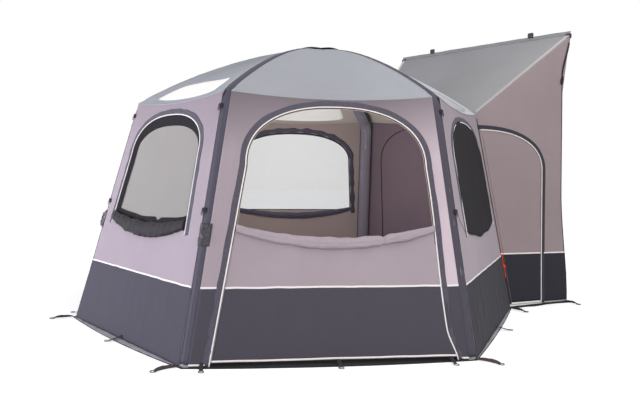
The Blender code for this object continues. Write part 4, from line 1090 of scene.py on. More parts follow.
# %% Beam sleeves and their side seams
SLEEVE_RINGS = 150
SLEEVE_SIDES = 56
SLEEVE_FABRIC = 0.0015
SLEEVE_START = 0.0025
BEAM_FOLD = 0.001
BEAM_SLACK = 0.0008
SLACK_RANGE = (-0.001, 0.0006)
SLACK_ROUND = 0.06
SLACK_WAVE = 0.11
FOLD_STRETCH = 0.03
BEAM_FOLD_WAVE = 0.03
OUTER_SHARE = 0.6
SEAM_WIDTH = 0.016
SEAM_THICK = 0.003
SEAM_LIFT = 0.0004
CREASE = 0.0016
CREASE_STEP = 0.032
CREASE_SPREAD = 1.6
INNER_TURN = math.radians(118)
SEAM_TURN = EDGE_TURN + math.radians(5)


def beam_index(count):
    """Numbers along a beam: evenly spaced on the leg, and closer together round the knee."""
    leg = np.linspace(SLEEVE_START, LEG_INDEX, count // 3, endpoint=False)
    knee = np.linspace(LEG_INDEX, KNEE_INDEX, count // 3, endpoint=False)
    return np.concatenate((leg, knee, np.linspace(KNEE_INDEX, CROWN_INDEX, count - 2 * (count // 3))))


def sleeve_grid(corner, first, last, sides):
    """Round skin of a beam between two turns. Its radius shrinks in short waves at the knee."""
    index = beam_index(SLEEVE_RINGS)
    middle, along, across, out = beam_frames(corner, index)
    turn = np.linspace(first, last, sides + 1)[None, :, None]
    length = np.concatenate(([0.0], np.cumsum(np.linalg.norm(np.diff(middle, axis=0), axis=1))))
    knee = np.exp(-((index - (LEG_INDEX + KNEE_INDEX) / 2) / CREASE_SPREAD) ** 2)
    crease = CREASE * knee * (0.5 + 0.5 * np.cos(length / CREASE_STEP * math.tau))
    turn_flat = turn[..., 0]
    slack = BEAM_SLACK * ripple(length[:, None], turn_flat * SLACK_ROUND, 300 + corner, SLACK_WAVE)
    folds = BEAM_FOLD * ripple(length[:, None] * FOLD_STRETCH, turn_flat * SLEEVE_RADIUS, 320 + corner,
                               BEAM_FOLD_WAVE)
    radius = SLEEVE_RADIUS - crease[:, None] * (1 - OUTER_SHARE * np.cos(turn_flat))
    radius = radius + np.clip(slack, *SLACK_RANGE)
    radius = radius + folds - BEAM_FOLD
    outwards = out[:, None] * np.cos(turn) + across[:, None] * np.sin(turn)
    skin = middle[:, None] + radius[..., None] * outwards
    skin[..., 2] = np.maximum(skin[..., 2], GROUND_FABRIC + GAP)
    return skin


for corner, label in enumerate(CORNERS):
    name = "beam_sleeve_" + label
    grids = [sleeve_grid(corner, -INNER_TURN, INNER_TURN, SLEEVE_SIDES),
             sleeve_grid(corner, INNER_TURN, math.tau - INNER_TURN, SLEEVE_SIDES // 2)]
    sleeve = make_piece(name + "_cloth", grids, [BEAM, INNER_BEAM], "beam_fabric", thickness=SLEEVE_FABRIC,
                        grow=-1.0, finish_numbers=[0, 1])
    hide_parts(name)
    area = grid_area(grids[0]) + grid_area(grids[1])
    seams = []
    for side in (-1, 1):
        index = beam_index(90)
        line = beam_spot(corner, index, side * SEAM_TURN, SLEEVE_RADIUS + SEAM_LIFT)
        middle = beam_points(corner, index)
        seams.append(sweep(line, line - middle, oval(SEAM_WIDTH, SEAM_THICK, SOFT)))
    make_trim("beam_seams_" + label, seams, BINDING, "beam_fabric")
print("sleeves:", len(CORNERS))

# %% [markdown]
# The roof as a function
#
# A roof panel hangs between two ribs. A point of it is found from two numbers: the share of the way
# across, and the row, from the eaves up to the crown. Between the ribs it droops in a shallow curve,
# a little more at the eaves, where the seam sags too.

# %% Roof function
ROOF_EDGE_GAP = 0.0015
ROOF_DROOP = 0.03
ROOF_FADE_POWER = 4
ROOF_LAST = CROWN_INDEX - SEAM_INDEX
ROOF_UNEVEN = 0.002
ROOF_WAVE = 0.5
EAVES_FADE = 1.2


def roof_point(wall, share, row):
    """Point between two ribs, less a droop; rows -1 to 0 lead from the wall's top edge to the roof."""
    share, row = np.broadcast_arrays(np.asarray(share, float), np.asarray(row, float))
    number = walls.index(wall)
    index = np.clip(row, 0, ROOF_LAST) + SEAM_INDEX
    radius = SLEEVE_RADIUS + ROOF_EDGE_GAP
    left = beam_spot((number - 1) % 6, index, EDGE_TURN, radius)
    right = beam_spot(number, index, -EDGE_TURN, radius)
    travel = np.clip(row, 0, ROOF_LAST) / ROOF_LAST
    droop = ROOF_DROOP * np.sin(math.pi * travel) + EAVES_SAG * (1 - travel) ** ROOF_FADE_POWER
    points = left + (right - left) * share[..., None]
    uneven = ROOF_UNEVEN * ripple(share * 1.5, index * 0.12, 400 + number, ROOF_WAVE)
    fade = np.sqrt(np.clip(np.sin(math.pi * share), 0, 1))
    fade = fade * smooth_step(index, SEAM_INDEX, SEAM_INDEX + EAVES_FADE)
    points[..., 2] += uneven * fade - droop * 4 * share * (1 - share)
    start, end = wall_edge(wall, -1)(wall.slope_length), wall_edge(wall, 1)(wall.slope_length)
    x = start + (end - start) * share
    seam = wall.at(x, seam_y(wall, x), FABRIC) + np.array((0.0, 0.0, GAP))
    below = np.clip(-row, 0, 1)[..., None]
    return points * (1 - below) + seam * below


def roof_normal(wall, share, row):
    """Outward direction: the cross product of a small step across and a small step up."""
    step = 0.01
    here = roof_point(wall, share, row)
    across = roof_point(wall, np.asarray(share) + step, row) - here
    up = roof_point(wall, share, np.asarray(row) + step) - here
    return unit(np.cross(across, up))


# %% [markdown]
# Roof panels and skylights
#
# Three panels have a skylight: a rounded window of milky film near the eaves. As on the walls, the
# rows of such a panel run round the hole, in rings from its outline to the panel's border. The film
# is a disc of rings inside the same outline, and a binding hides the joint.

# %% Roof panels and skylights
ROOF_COLUMNS = 40
ROOF_ROWS = 46
ROOF_RINGS = 36
ROOF_RAYS = 240
SKYLIGHT_WALLS = ("front", "right_rear", "left_rear")
SKYLIGHT_MIDDLE = (0.505, 1.05)
SKYLIGHT_HALF = (0.355, 0.95)
SKYLIGHT_POWER = 4.0
SKYLIGHT_BINDING = (0.014, 0.003)
SEAM_SHARES = (0.085, 0.915)
STITCH_BAND = (0.007, 0.0016)
STITCH_ENDS = (-0.2, ROOF_LAST - 0.4)
EAVES_WELT = (0.007, 0.005)
WELT_LIFT = 0.001
FILM_THICK = 0.0008
ROW_SCALE = 8.0
# Panels whose roof cloth is a copy with painted shade, and the one with painted light.
ROOF_LIGHT_COPIES = {"front": ROOF_PAINTED_SHADE, "left_front": ROOF_PAINTED_SHADE, "right_rear": ROOF_PAINTED_LIGHT}
ROOF_SPREAD = (1.4, 0.16)  # metres of cloth for a whole share across, and for a row


def rounded_window(angles):
    """Outline of a skylight in share and row: a box with round corners, a superellipse of power 4."""
    cosine, sine = np.cos(angles), np.sin(angles)
    x = SKYLIGHT_MIDDLE[0] + SKYLIGHT_HALF[0] * np.sign(cosine) * np.abs(cosine) ** (2 / SKYLIGHT_POWER)
    y = SKYLIGHT_MIDDLE[1] + SKYLIGHT_HALF[1] * np.sign(sine) * np.abs(sine) ** (2 / SKYLIGHT_POWER)
    return np.stack((x, y), axis=-1)


def roof_shares(wall):
    """Share and row of each point of a panel: a plain grid, or rings round a skylight."""
    if wall.name not in SKYLIGHT_WALLS:
        return np.meshgrid(np.linspace(0, 1, ROOF_COLUMNS), np.linspace(-1, ROOF_LAST, ROOF_ROWS))
    scale = np.array((1.0, 1 / ROW_SCALE))
    centre = np.array(SKYLIGHT_MIDDLE) * scale
    side = np.linspace(0, 1, 120)[:, None]
    corners = np.array(((1, -1), (1, ROOF_LAST), (0, ROOF_LAST), (0, -1), (1, -1))) * scale
    border = np.concatenate([a + (b - a) * side for a, b in zip(corners, corners[1:])])
    offset = corners[:4] - centre
    base = np.linspace(-math.pi, math.pi, ROOF_RAYS + 1)
    angles = np.unique(np.concatenate((base, np.arctan2(offset[:, 1], offset[:, 0]))))[::-1]
    opening = rounded_window(np.linspace(-math.pi, math.pi, 720, endpoint=False)) * scale
    inner = ray_lengths(opening, centre, angles, True)
    outer = ray_lengths(border, centre, angles, True)
    reach = inner + (outer - inner) * np.linspace(0, 1, ROOF_RINGS)[:, None]
    return centre[0] + np.cos(angles) * reach, (centre[1] + np.sin(angles) * reach) * ROW_SCALE


def make_skylight(wall):
    """Milky film inside the rounded outline, and the binding sewn round it."""
    angles = np.linspace(math.pi, -math.pi, 145)
    rim = rounded_window(angles)
    ring = np.linspace(0, 1, 16)[:, None, None]
    flat = np.array(SKYLIGHT_MIDDLE) + (rim[None] - np.array(SKYLIGHT_MIDDLE)) * ring
    grid = roof_point(wall, flat[..., 0], flat[..., 1])
    # The right rear skylight takes the copy with painted shade.
    finish = SKYLIGHT_PAINTED_SHADE if wall.name == "right_rear" else SKYLIGHT
    make_sheet("skylight_" + wall.name + "_film", [grid], finish, "skylight_film", "stretched",
               ["roof_" + wall.name], "skylight_" + wall.name, places=[flat * np.array(ROOF_SPREAD)],
               thickness=FILM_THICK)
    line = roof_point(wall, rim[:, 0], rim[:, 1])
    out = roof_normal(wall, rim[:, 0], rim[:, 1])
    band = sweep(line + out * (FABRIC + BAND_LIFT), out, oval(*SKYLIGHT_BINDING, SQUARE), loop=True)
    make_trim("skylight_binding_" + wall.name, [band], ROOF, "roof_fabric")


def roof_band(wall, share, row, width, thick):
    """Flat band that lies along a line on the roof."""
    line = roof_point(wall, share, row)
    out = roof_normal(wall, share, row)
    return sweep(line + out * FABRIC, out, oval(width, thick, SQUARE))


for wall in walls:
    name = "roof_" + wall.name
    share, row = roof_shares(wall)
    grid = roof_point(wall, share, row)
    # Three panels take copies of the roof cloth with painted shade and light.
    finish = ROOF_LIGHT_COPIES.get(wall.name, ROOF)
    make_sheet(name + "_cloth", [grid], [finish, ROOF_LINING], "roof_fabric", "stretched",
               ["beam_sleeve_" + CORNERS[walls.index(wall)]], name, thickness=FABRIC,
               places=[np.stack((share * ROOF_SPREAD[0], row * ROOF_SPREAD[1]), axis=-1)])
    if wall.name in SKYLIGHT_WALLS:
        make_skylight(wall)
    rows = np.linspace(*STITCH_ENDS, 60)
    stitches = [roof_band(wall, np.full_like(rows, at), rows, *STITCH_BAND) for at in SEAM_SHARES]
    make_trim("roof_seams_" + wall.name, stitches, ROOF, "roof_fabric")
    start, end = wall_edge(wall, -1)(wall.slope_length), wall_edge(wall, 1)(wall.slope_length)
    run = np.linspace(start, end, 60)
    welt = flat_line(wall, run, seam_y(wall, run) - WELT_LIFT, FABRIC + WELT_LIFT, *EAVES_WELT, ROUND)
    make_trim("eaves_welt_" + wall.name, [welt], ROOF, "roof_fabric")
print("roof panels:", len(walls), "skylights:", len(SKYLIGHT_WALLS))

# %% [markdown]
# The crown
#
# Where the six ribs meet, a round patch is laid over the junction. It is a shallow dome that rests on
# the ribs and dips between them, so its rim scallops.

# %% Crown patch
CAP_RADIUS = 0.21
CAP_RINGS = 24
CAP_SIDES = 96
CAP_LIFT = 0.003
CAP_DIP = 0.03
CAP_DROP_SHARE = 0.55
RIB_INDEX = 9.5
DIP_TURNS = 2.4


def crown_height(radius, turn):
    """Top of the nearest rib at a distance from the crown, with a small dip between two ribs."""
    ribs = [beam_points(corner, RIB_INDEX)[0] - CROWN for corner in range(6)]
    azimuths = np.array([math.atan2(rib[1], rib[0]) for rib in ribs])
    off = np.abs((turn[..., None] - azimuths + math.pi) % math.tau - math.pi).min(axis=-1)
    span = np.linalg.norm(meet(0, KNEE_HEIGHT, SLEEVE_RADIUS)[:2] - CROWN[:2])
    drop = (CROWN[2] - KNEE_HEIGHT) * (radius / span) ** RIDGE_POWER
    dip = CAP_DIP * (radius / CAP_RADIUS) ** 2 * (1 - np.cos(off * DIP_TURNS)) / 2
    return CROWN[2] + SLEEVE_RADIUS + CAP_LIFT - drop * CAP_DROP_SHARE - dip


turn = np.linspace(math.tau, 0, CAP_SIDES + 1)[None, :]
reach = np.linspace(0, CAP_RADIUS, CAP_RINGS)[:, None]
cap_grid = np.stack((CROWN[0] + reach * np.cos(turn), CROWN[1] + reach * np.sin(turn),
                     crown_height(reach, turn)), axis=-1)
cap = make_piece("crown_patch", [cap_grid], ROOF, "roof_fabric", thickness=FABRIC)
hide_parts("crown_cap")

# %% [markdown]
# Bindings, piping and zips
#
# Round every opening run three lines: a wide slate binding sewn to the wall, a thin white piping on
# its inner edge, and inside the dark tape of the zip. Each one is the arch again, grown by another
# amount and laid on the wall with another outline. The binding is folded cloth, so its width and
# height tremble a little along the way. On the open door the slack piping bends inwards on one side.

# %% Trims of the openings
BINDING_WIDTH = 0.044
BINDING_THICK = 0.005
PIPING_WIDTH = 0.0095
PIPING_THICK = 0.0065
ZIP_WIDTH = 0.011
ZIP_THICK = 0.0025
INNER_BINDING = (0.046, 0.010)
INNER_GROW = 0.026
INNER_LIFT = -0.005
ZIP_LIFT = -0.0012
FACE_LIFT = 0.001
TRIM_LIFT = FABRIC + FACE_LIFT
PIPING_GROW = 0.004
PIPING_LIFT = TRIM_LIFT + 0.002
BINDING_TREMBLES = (0.12, 0.2)
TREMBLE_WAVE = 0.12
TREMBLE_RUN = 3.0
ARCH_POINTS = 200
ZIP_SLACK = 0.044
SLACK_TOP = 1.30
SLACK_FOOT = 0.22
SILL_DROP = 0.03
DOOR_LOW = 0.003
EDGE_TAPE = dict(grow=-0.003, width=0.006, thick=0.003, bottom=0.80)
EDGE_LINE = dict(grow=-0.008, width=0.004, thick=0.002, bottom=0.92)


def arch_trim(wall, shape, grow, width, thick, lift, bottom=None, power=SOFT, tremble=0.0, seed=0):
    """Band along an opening's outline, grown outwards, on the wall's outer or inner face."""
    line = resample(arch_line(shape, grow, bottom), ARCH_POINTS)
    if wall.name == "right_front":
        slack = smooth_step(SLACK_TOP - line[:, 1], 0, SLACK_TOP - SLACK_FOOT)
        slack = slack * smooth_step(line[:, 1], 0, SLACK_FOOT)
        line[:, 0] -= ZIP_SLACK * slack * (line[:, 0] > 0)
    scale = None
    if tremble:
        run = np.linspace(0, TREMBLE_RUN, ARCH_POINTS)
        scale = 1 + tremble * ripple(run, 0, seed, TREMBLE_WAVE)
    return flat_line(wall, line[:, 0], line[:, 1], lift, width, thick, power, scale)


def trims(wall, shape, bottom, inside="zip"):
    """Binding and piping of one opening outside, and a zip or a crumpled binding inside."""
    seed = 500 + walls.index(wall)
    grow = PIPING_WIDTH / 2 + BINDING_WIDTH / 2
    binding = arch_trim(wall, shape, grow, BINDING_WIDTH, BINDING_THICK, TRIM_LIFT, bottom, SQUARE,
                        BINDING_TREMBLES[0], seed)
    make_trim("binding_" + wall.name, [binding], BINDING)
    piping = arch_trim(wall, shape, PIPING_GROW, PIPING_WIDTH, PIPING_THICK, PIPING_LIFT, bottom, ROUND)
    make_trim("piping_" + wall.name, [piping], WHITE_TAPE)
    if inside == "binding":
        inner = arch_trim(wall, shape, INNER_GROW, *INNER_BINDING, INNER_LIFT, bottom, SOFT,
                          BINDING_TREMBLES[1], seed + 9)
        make_trim("inner_binding_" + wall.name, [inner], BINDING)
    else:
        inner = arch_trim(wall, shape, 0, ZIP_WIDTH, ZIP_THICK, ZIP_LIFT, bottom)
        make_trim("inner_zip_" + wall.name, [inner], ZIP_TAPE)


for name, shape in WINDOWS.items():
    trims(by_name[name], shape, shape["sill"] - SILL_DROP, "binding" if name == "left_rear" else "zip")
for name, shape in DOORS.items():
    trims(by_name[name], shape, by_name[name].floor + DOOR_LOW)
wall, shape = by_name["right_front"], DOORS["right_front"]
make_trim("door_edge_tape", [arch_trim(wall, shape, lift=FABRIC / 2, **EDGE_TAPE)], ZIP_TAPE)
make_trim("door_edge_line", [arch_trim(wall, shape, lift=FABRIC / 2, **EDGE_LINE)], BEIGE_TAPE)

# %% [markdown]
# Window panes and their frames
#
# A pane is smaller than its opening: a dark border of cloth holds it. On the front window the film
# lies almost two centimetres behind the wall, so from the side its border hides behind the piping.
# A dark band with a wavy, sagging edge covers the foot of that window.

# %% Panes
PANE_RECESS = -0.018
PANE_INSET = dict(sides=0.045, top=0.080, sill=0.03)
OTHER_INSET = dict(sides=0.012, top=0.02, sill=0.01)
PANE_GROW = 0.006
PANE_FILM = 0.0006
PANE_BULGE = 0.002
PANE_SEWN = 0.1
BORDER_GROW = 0.004
BORDER_POINTS = 160
BORDER_RINGS = 8
BORDER_LIFTS = (0.001, 0.0005)
COVER_FABRIC = 0.001
WINDOW_SILL = 0.930
SILL_BAND = dict(height=0.062, sag=0.045, wave=0.003, fabric=0.0012, drop=0.02, lift=0.004, uneven=0.003)
SILL_COLUMNS = 90
SILL_WAVE = 0.12
PANE_WAVE = 0.5


def pane_shape(shape, sides, top, sill):
    """The arch of a pane, smaller than its opening by a border."""
    return dict(sill=shape["sill"] + sill, spring=shape["spring"], top=shape["top"] - top,
                low=shape["low"] - sides, high=shape["high"] - sides, lean=shape["lean"])


for name, shape in WINDOWS.items():
    wall = by_name[name]
    inset, recess, finish = OTHER_INSET, 0, REAR_PANE
    if name == "front":
        inset, recess, finish = PANE_INSET, PANE_RECESS, PANE
    small = pane_shape(shape, **inset)
    x, y = arch_fill(small, PANE_GROW, small["sill"] - PANE_GROW, 36, 41)
    bulge = PANE_BULGE * ripple(x, y, 600 + walls.index(wall), PANE_WAVE)
    grid = wall.at(x, y, recess + bulge * smooth_step(small["top"] - y, 0, PANE_SEWN))
    make_sheet("pane_" + name, [grid], finish, "window_film", "stretched", ["wall_" + name], "window_" + name,
               thickness=PANE_FILM)
    outer = resample(arch_line(shape, BORDER_GROW, shape["sill"] - BORDER_GROW), BORDER_POINTS, loop=True)
    inner = resample(arch_line(small, 0, small["sill"]), BORDER_POINTS, loop=True)
    ring = np.stack([inner + (outer - inner) * share for share in np.linspace(0, 1, BORDER_RINGS)])
    lift = np.linspace(recess + BORDER_LIFTS[0], BORDER_LIFTS[1], BORDER_RINGS)[:, None]
    grid = wall.at(ring[..., 0], ring[..., 1], lift)[:, ::-1]
    make_sheet("pane_border_" + name, [grid], DARK, "cover_fabric", "stretched", ["wall_" + name],
               thickness=COVER_FABRIC, places=[ring[:, ::-1]])
wall, shape = by_name["front"], WINDOWS["front"]
across = np.linspace(-1, 1, SILL_COLUMNS)
top = WINDOW_SILL + SILL_BAND["height"] - SILL_BAND["sag"] * (1 - across ** 2)
top = top + SILL_BAND["wave"] * (np.sin(7 * across) + 0.6 * np.sin(13 * across + 1))
low = shape["sill"] - SILL_BAND["drop"]
y = low + (top - low) * np.linspace(0, 1, 16)[:, None]
x = side_x(shape, -1, y) + (side_x(shape, 1, y) - side_x(shape, -1, y)) * (across[None, :] + 1) / 2
uneven = SILL_BAND["uneven"] * ripple(x, y * 2, 611, SILL_WAVE)
lift = PANE_RECESS + SILL_BAND["lift"] + uneven
make_sheet("sill_band_front", [wall.at(x, y, lift)], DARK, "cover_fabric", "hung", ["wall_front"],
           thickness=SILL_BAND["fabric"])
print("panes:", list(WINDOWS))

# %% [markdown]
# Rolled flaps
#
# The upper half of the open door and two of the window covers are rolled up and hang in a curve
# between both sides of their opening. A roll is an oval carried along that curve. What makes it look
# like cloth is the change along the way: its layers show as lengthwise ridges that twist slowly, it
# is pinched where it is tied, and short creases cross it.

# %% Rolls
DOOR_ROLL = dict(depth=0.017, height=0.040, sag=0.104, level=0.912, ties=((0.73, 0.014),))
WINDOW_ROLL = dict(depth=0.020, height=0.060, sag=0.080, level=0.920)
INNER_ROLL = dict(WINDOW_ROLL, height=0.036, level=0.87)
ROLL_END_SHARE = 0.6
TIE_PINCH = 0.3
LAYERS = ((0.06, 5, 1), (0.045, 9, -1.7), (0.03, 14, 2.3))  # share of the roll, ridges round it, twists
ROLL_STEPS = 170
ROLL_SIDES = 44
ROLL_TWIST = 0.12
ROLL_GIRTH = 0.12
ROLL_WAVES = (0.045, 0.03)
ROLL_CLEAR = 0.009
ROLL_LIFT = TRIM_LIFT
INNER_ROLL_LIFT = -0.004


def roll_y(roll, across):
    """Middle line of a roll, from -1 to 1 across its opening: a parabola that sags."""
    return roll["level"] - roll["sag"] * (1 - np.asarray(across) ** 2)


def roll_grid(wall, shape, roll, lift, seed, crease):
    """Oval sections along the sagging line, folded lengthwise and creased across."""
    travel = np.linspace(0, 1, ROLL_STEPS)
    low = side_x(shape, -1, roll["level"]) + ROLL_CLEAR
    high = side_x(shape, 1, roll["level"]) - ROLL_CLEAR
    run = (low + (high - low) * travel)[:, None]
    y = roll_y(roll, 2 * travel - 1)
    full = ROLL_END_SHARE + (1 - ROLL_END_SHARE) * np.sin(math.pi * travel) ** FULLNESS
    angle = np.linspace(0, math.tau, ROLL_SIDES + 1)[None, :]
    twist = ROLL_TWIST * math.tau * travel[:, None]
    layers = sum(size * np.cos(count * angle + turns * twist) for size, count, turns in LAYERS)
    skin = angle / math.tau * ROLL_GIRTH
    folds = ripple(run * 0.35 + 0.3 * skin, skin, seed, ROLL_WAVES[0])
    small = ripple(run * 0.2, skin, seed + 1, ROLL_WAVES[1])
    size = full[:, None] * (1 + layers + crease * (0.7 * folds + 0.4 * small) - crease)
    for share, width in roll.get("ties", ()):
        size = size * (1 - TIE_PINCH * np.exp(-((travel[:, None] - share) / width) ** 2))
    rise = size * roll["height"] * np.cos(angle)
    out = size * roll["depth"] * np.sin(angle)
    out = out - out.min(axis=1, keepdims=True)
    sign = -1 if lift < 0 else 1
    return closed_ends(wall.at(run, y[:, None] + rise, lift + sign * out))


ROLLS = (
    # name, solid it replaces, wall, sizes, lift, seed, crease, finish, slot, body
    ("front_window_roll", "window_cover_front", "front", WINDOW_ROLL, ROLL_LIFT, 61, 0.11, ROLLED,
     "cover_fabric", AWNING),
    ("left_rear_window_roll", "window_cover_left_rear", "left_rear", INNER_ROLL, INNER_ROLL_LIFT, 62, 0.10,
     BINDING, "cover_fabric", AWNING),
    ("door_roll", "right_door_roll", "right_front", DOOR_ROLL, ROLL_LIFT, 63, 0.10, ROLLED_WALL,
     "wall_fabric", "right_door"),
)
for name, replaced, label, roll, lift, seed, crease, finish, slot, body in ROLLS:
    grid = roll_grid(by_name[label], OPENINGS[label], roll, lift, seed, crease)
    piece = make_trim(name, [grid], finish, slot, body)
    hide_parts(replaced)
    print(name, "hangs", roll["sag"], "m down")

# %% [markdown]
# The closed window cover
#
# On the fourth side the cover is zipped up. It is one dark sheet that fills the arch and ends below
# in a sagging edge. It isn't pulled tight, so its free edge waves.

# %% Closed cover
COVER_GROW = 0.012
COVER_LIFT = FABRIC + 0.0045
COVER_EDGE = dict(drop=0.06, wave=0.008)
COVER_SIZES = (0.0022, 0.0006)
COVER_WAVES = (0.4, 0.3)
COVER_RANGE = (-0.003, 0.008)


def cover_low(across):
    """Lower edge of the closed cover, sagging like the rolls and a little wavy."""
    wave = COVER_EDGE["wave"] * np.sin(9 * across) * (1 - across ** 2)
    return roll_y(WINDOW_ROLL, across) - COVER_EDGE["drop"] + wave


wall, shape = by_name["right_rear"], WINDOWS["right_rear"]
x, y = arch_fill(shape, COVER_GROW, cover_low, 60, 61)
waves = COVER_SIZES[0] * ripple(x, y, 71, COVER_WAVES[0])
waves = waves + COVER_SIZES[1] * ripple(x * 1.6, y * 0.8, 72, COVER_WAVES[1])
grid = wall.at(x, y, COVER_LIFT + np.clip(waves, *COVER_RANGE))
make_sheet("right_rear_closed_cover", [grid], DARK, "cover_fabric", "hung", ["wall_right_rear"],
           "window_cover_right_rear", thickness=COVER_FABRIC)
print("closed cover:", round(grid_area(grid), 2), "square metres")

# %% [markdown]
# Door leaves
#
# The open door keeps its lower half up, with its own piece of mud wall and tape. The opposite door
# and the door to the tunnel are zipped shut. Each leaf rides on its hinge, so it is one sheet with
# its trims, all on the same body.

# %% Door leaves
LEAF_LIFT = 0.03
BAND_RAISE = 0.002
LEAF_CLEAR = 0.0016
LEAF_SEWN = (0.03, 0.2)
LEAF_WAVE = 0.35
HINGE_CLEAR = 0.0062
BAND_CLEAR = 0.0075


def leaf_pieces(body, label, seed, finishes, top=None, mud=True, clear=LEAF_CLEAR):
    """A leaf up to its arch, or to a lower top line, with its band of mud wall and its tape.

    clear is the room between the leaf and the edge of its arch, so that it can swing past the piping."""
    wall, shape, name = by_name[label], DOORS[label], body + "_cloth"
    if top is None:
        x, y = arch_fill(shape, -clear, LEAF_LIFT, 60, 61)
    else:
        across = np.linspace(-1, 1, 81)[None, :]
        y = LEAF_LIFT + (top(across) - LEAF_LIFT) * np.linspace(0, 1, 50)[:, None]
        left, right = side_x(shape, -1, y) + clear, side_x(shape, 1, y) - clear
        x = left + (right - left) * (across + 1) / 2
    level = np.minimum(y, shape["spring"])
    edge = np.minimum(np.abs(x - side_x(shape, 1, level)), np.abs(x - side_x(shape, -1, level)))
    relief = PUCKER * smooth_step(edge, *LEAF_SEWN) * above_mud(y, wall.mud)
    grid = wall.at(x, y, relief * ripple(x * 1.4, y * 0.8, seed, LEAF_WAVE))
    make_sheet(name, [grid], finishes, "wall_fabric", "hung", ["wall_" + label], body + "_leaf", body=body,
               places=[np.stack((x, y), axis=-1)], thickness=FABRIC)
    if mud:
        def left(y):
            return side_x(shape, -1, y) + BAND_CLEAR

        def right(y):
            return side_x(shape, 1, y) - BAND_CLEAR

        x, y, grid = band_grid(wall, left, right, LEAF_LIFT + BAND_RAISE, wall.mud, 110, seed + 5,
                               FABRIC + BAND_LIFT)
        make_sheet(name + "_mud", [grid], MUD, "wall_fabric", "hung", [name], body=body,
                   places=[np.stack((x, y), axis=-1)], thickness=MUD_FABRIC)
        make_trim(name + "_tape", [mud_tape(wall, left, right, 90, seed + 6)], WHITE_TAPE, body=body)


leaf_pieces("right_door", "right_front", 81, [WALL, LINING], top=lambda across: roll_y(DOOR_ROLL, across))
leaf_pieces("left_door", "left_front", 91, [WALL, LINING], clear=HINGE_CLEAR)
leaf_pieces("inner_door", "inner", 101, [WALL, INNER_LINING], mud=False)
print("leaves: 3")

# %% [markdown]
# The tunnel
#
# The tunnel's sides are ruled surfaces: straight lines from the rear legs to the caravan, which
# stands more upright than the legs do, so the cloth has a slight twist. Any point of it is found from
# flat coordinates by a few rounds of Newton's method, so the quarter-arched door, the mud wall and
# the piping are drawn flat, and then laid on the twisted cloth.

# %% Tunnel surfaces
TUNNEL_DEPTH = 2.463
RAIL_HEIGHT = 2.683
RAIL_HALF = 1.143
TUNNEL_FOOT_HALF = 1.188
TUNNEL_EDGE_CLEARANCE = 0.002
TUNNEL_DOOR = dict(reach=0.405, spring=1.30, top=1.69, strip=0.03, lift=0.03)
EDGE_BOW = dict(reach=0.085, full_share=0.42, fade_share=0.84)
NEWTON_ROUNDS = 8


def leg_line(corner, height, out):
    """Point beside a leg, out along the half angle of its two walls."""
    normals = walls[corner].normal + walls[(corner + 1) % 6].normal
    foot, top = meet(corner, 0.0, SLEEVE_RADIUS + GAP), meet(corner, KNEE_HEIGHT, SLEEVE_RADIUS + GAP)
    return foot + (top - foot) * height / KNEE_HEIGHT + unit(normals) * out


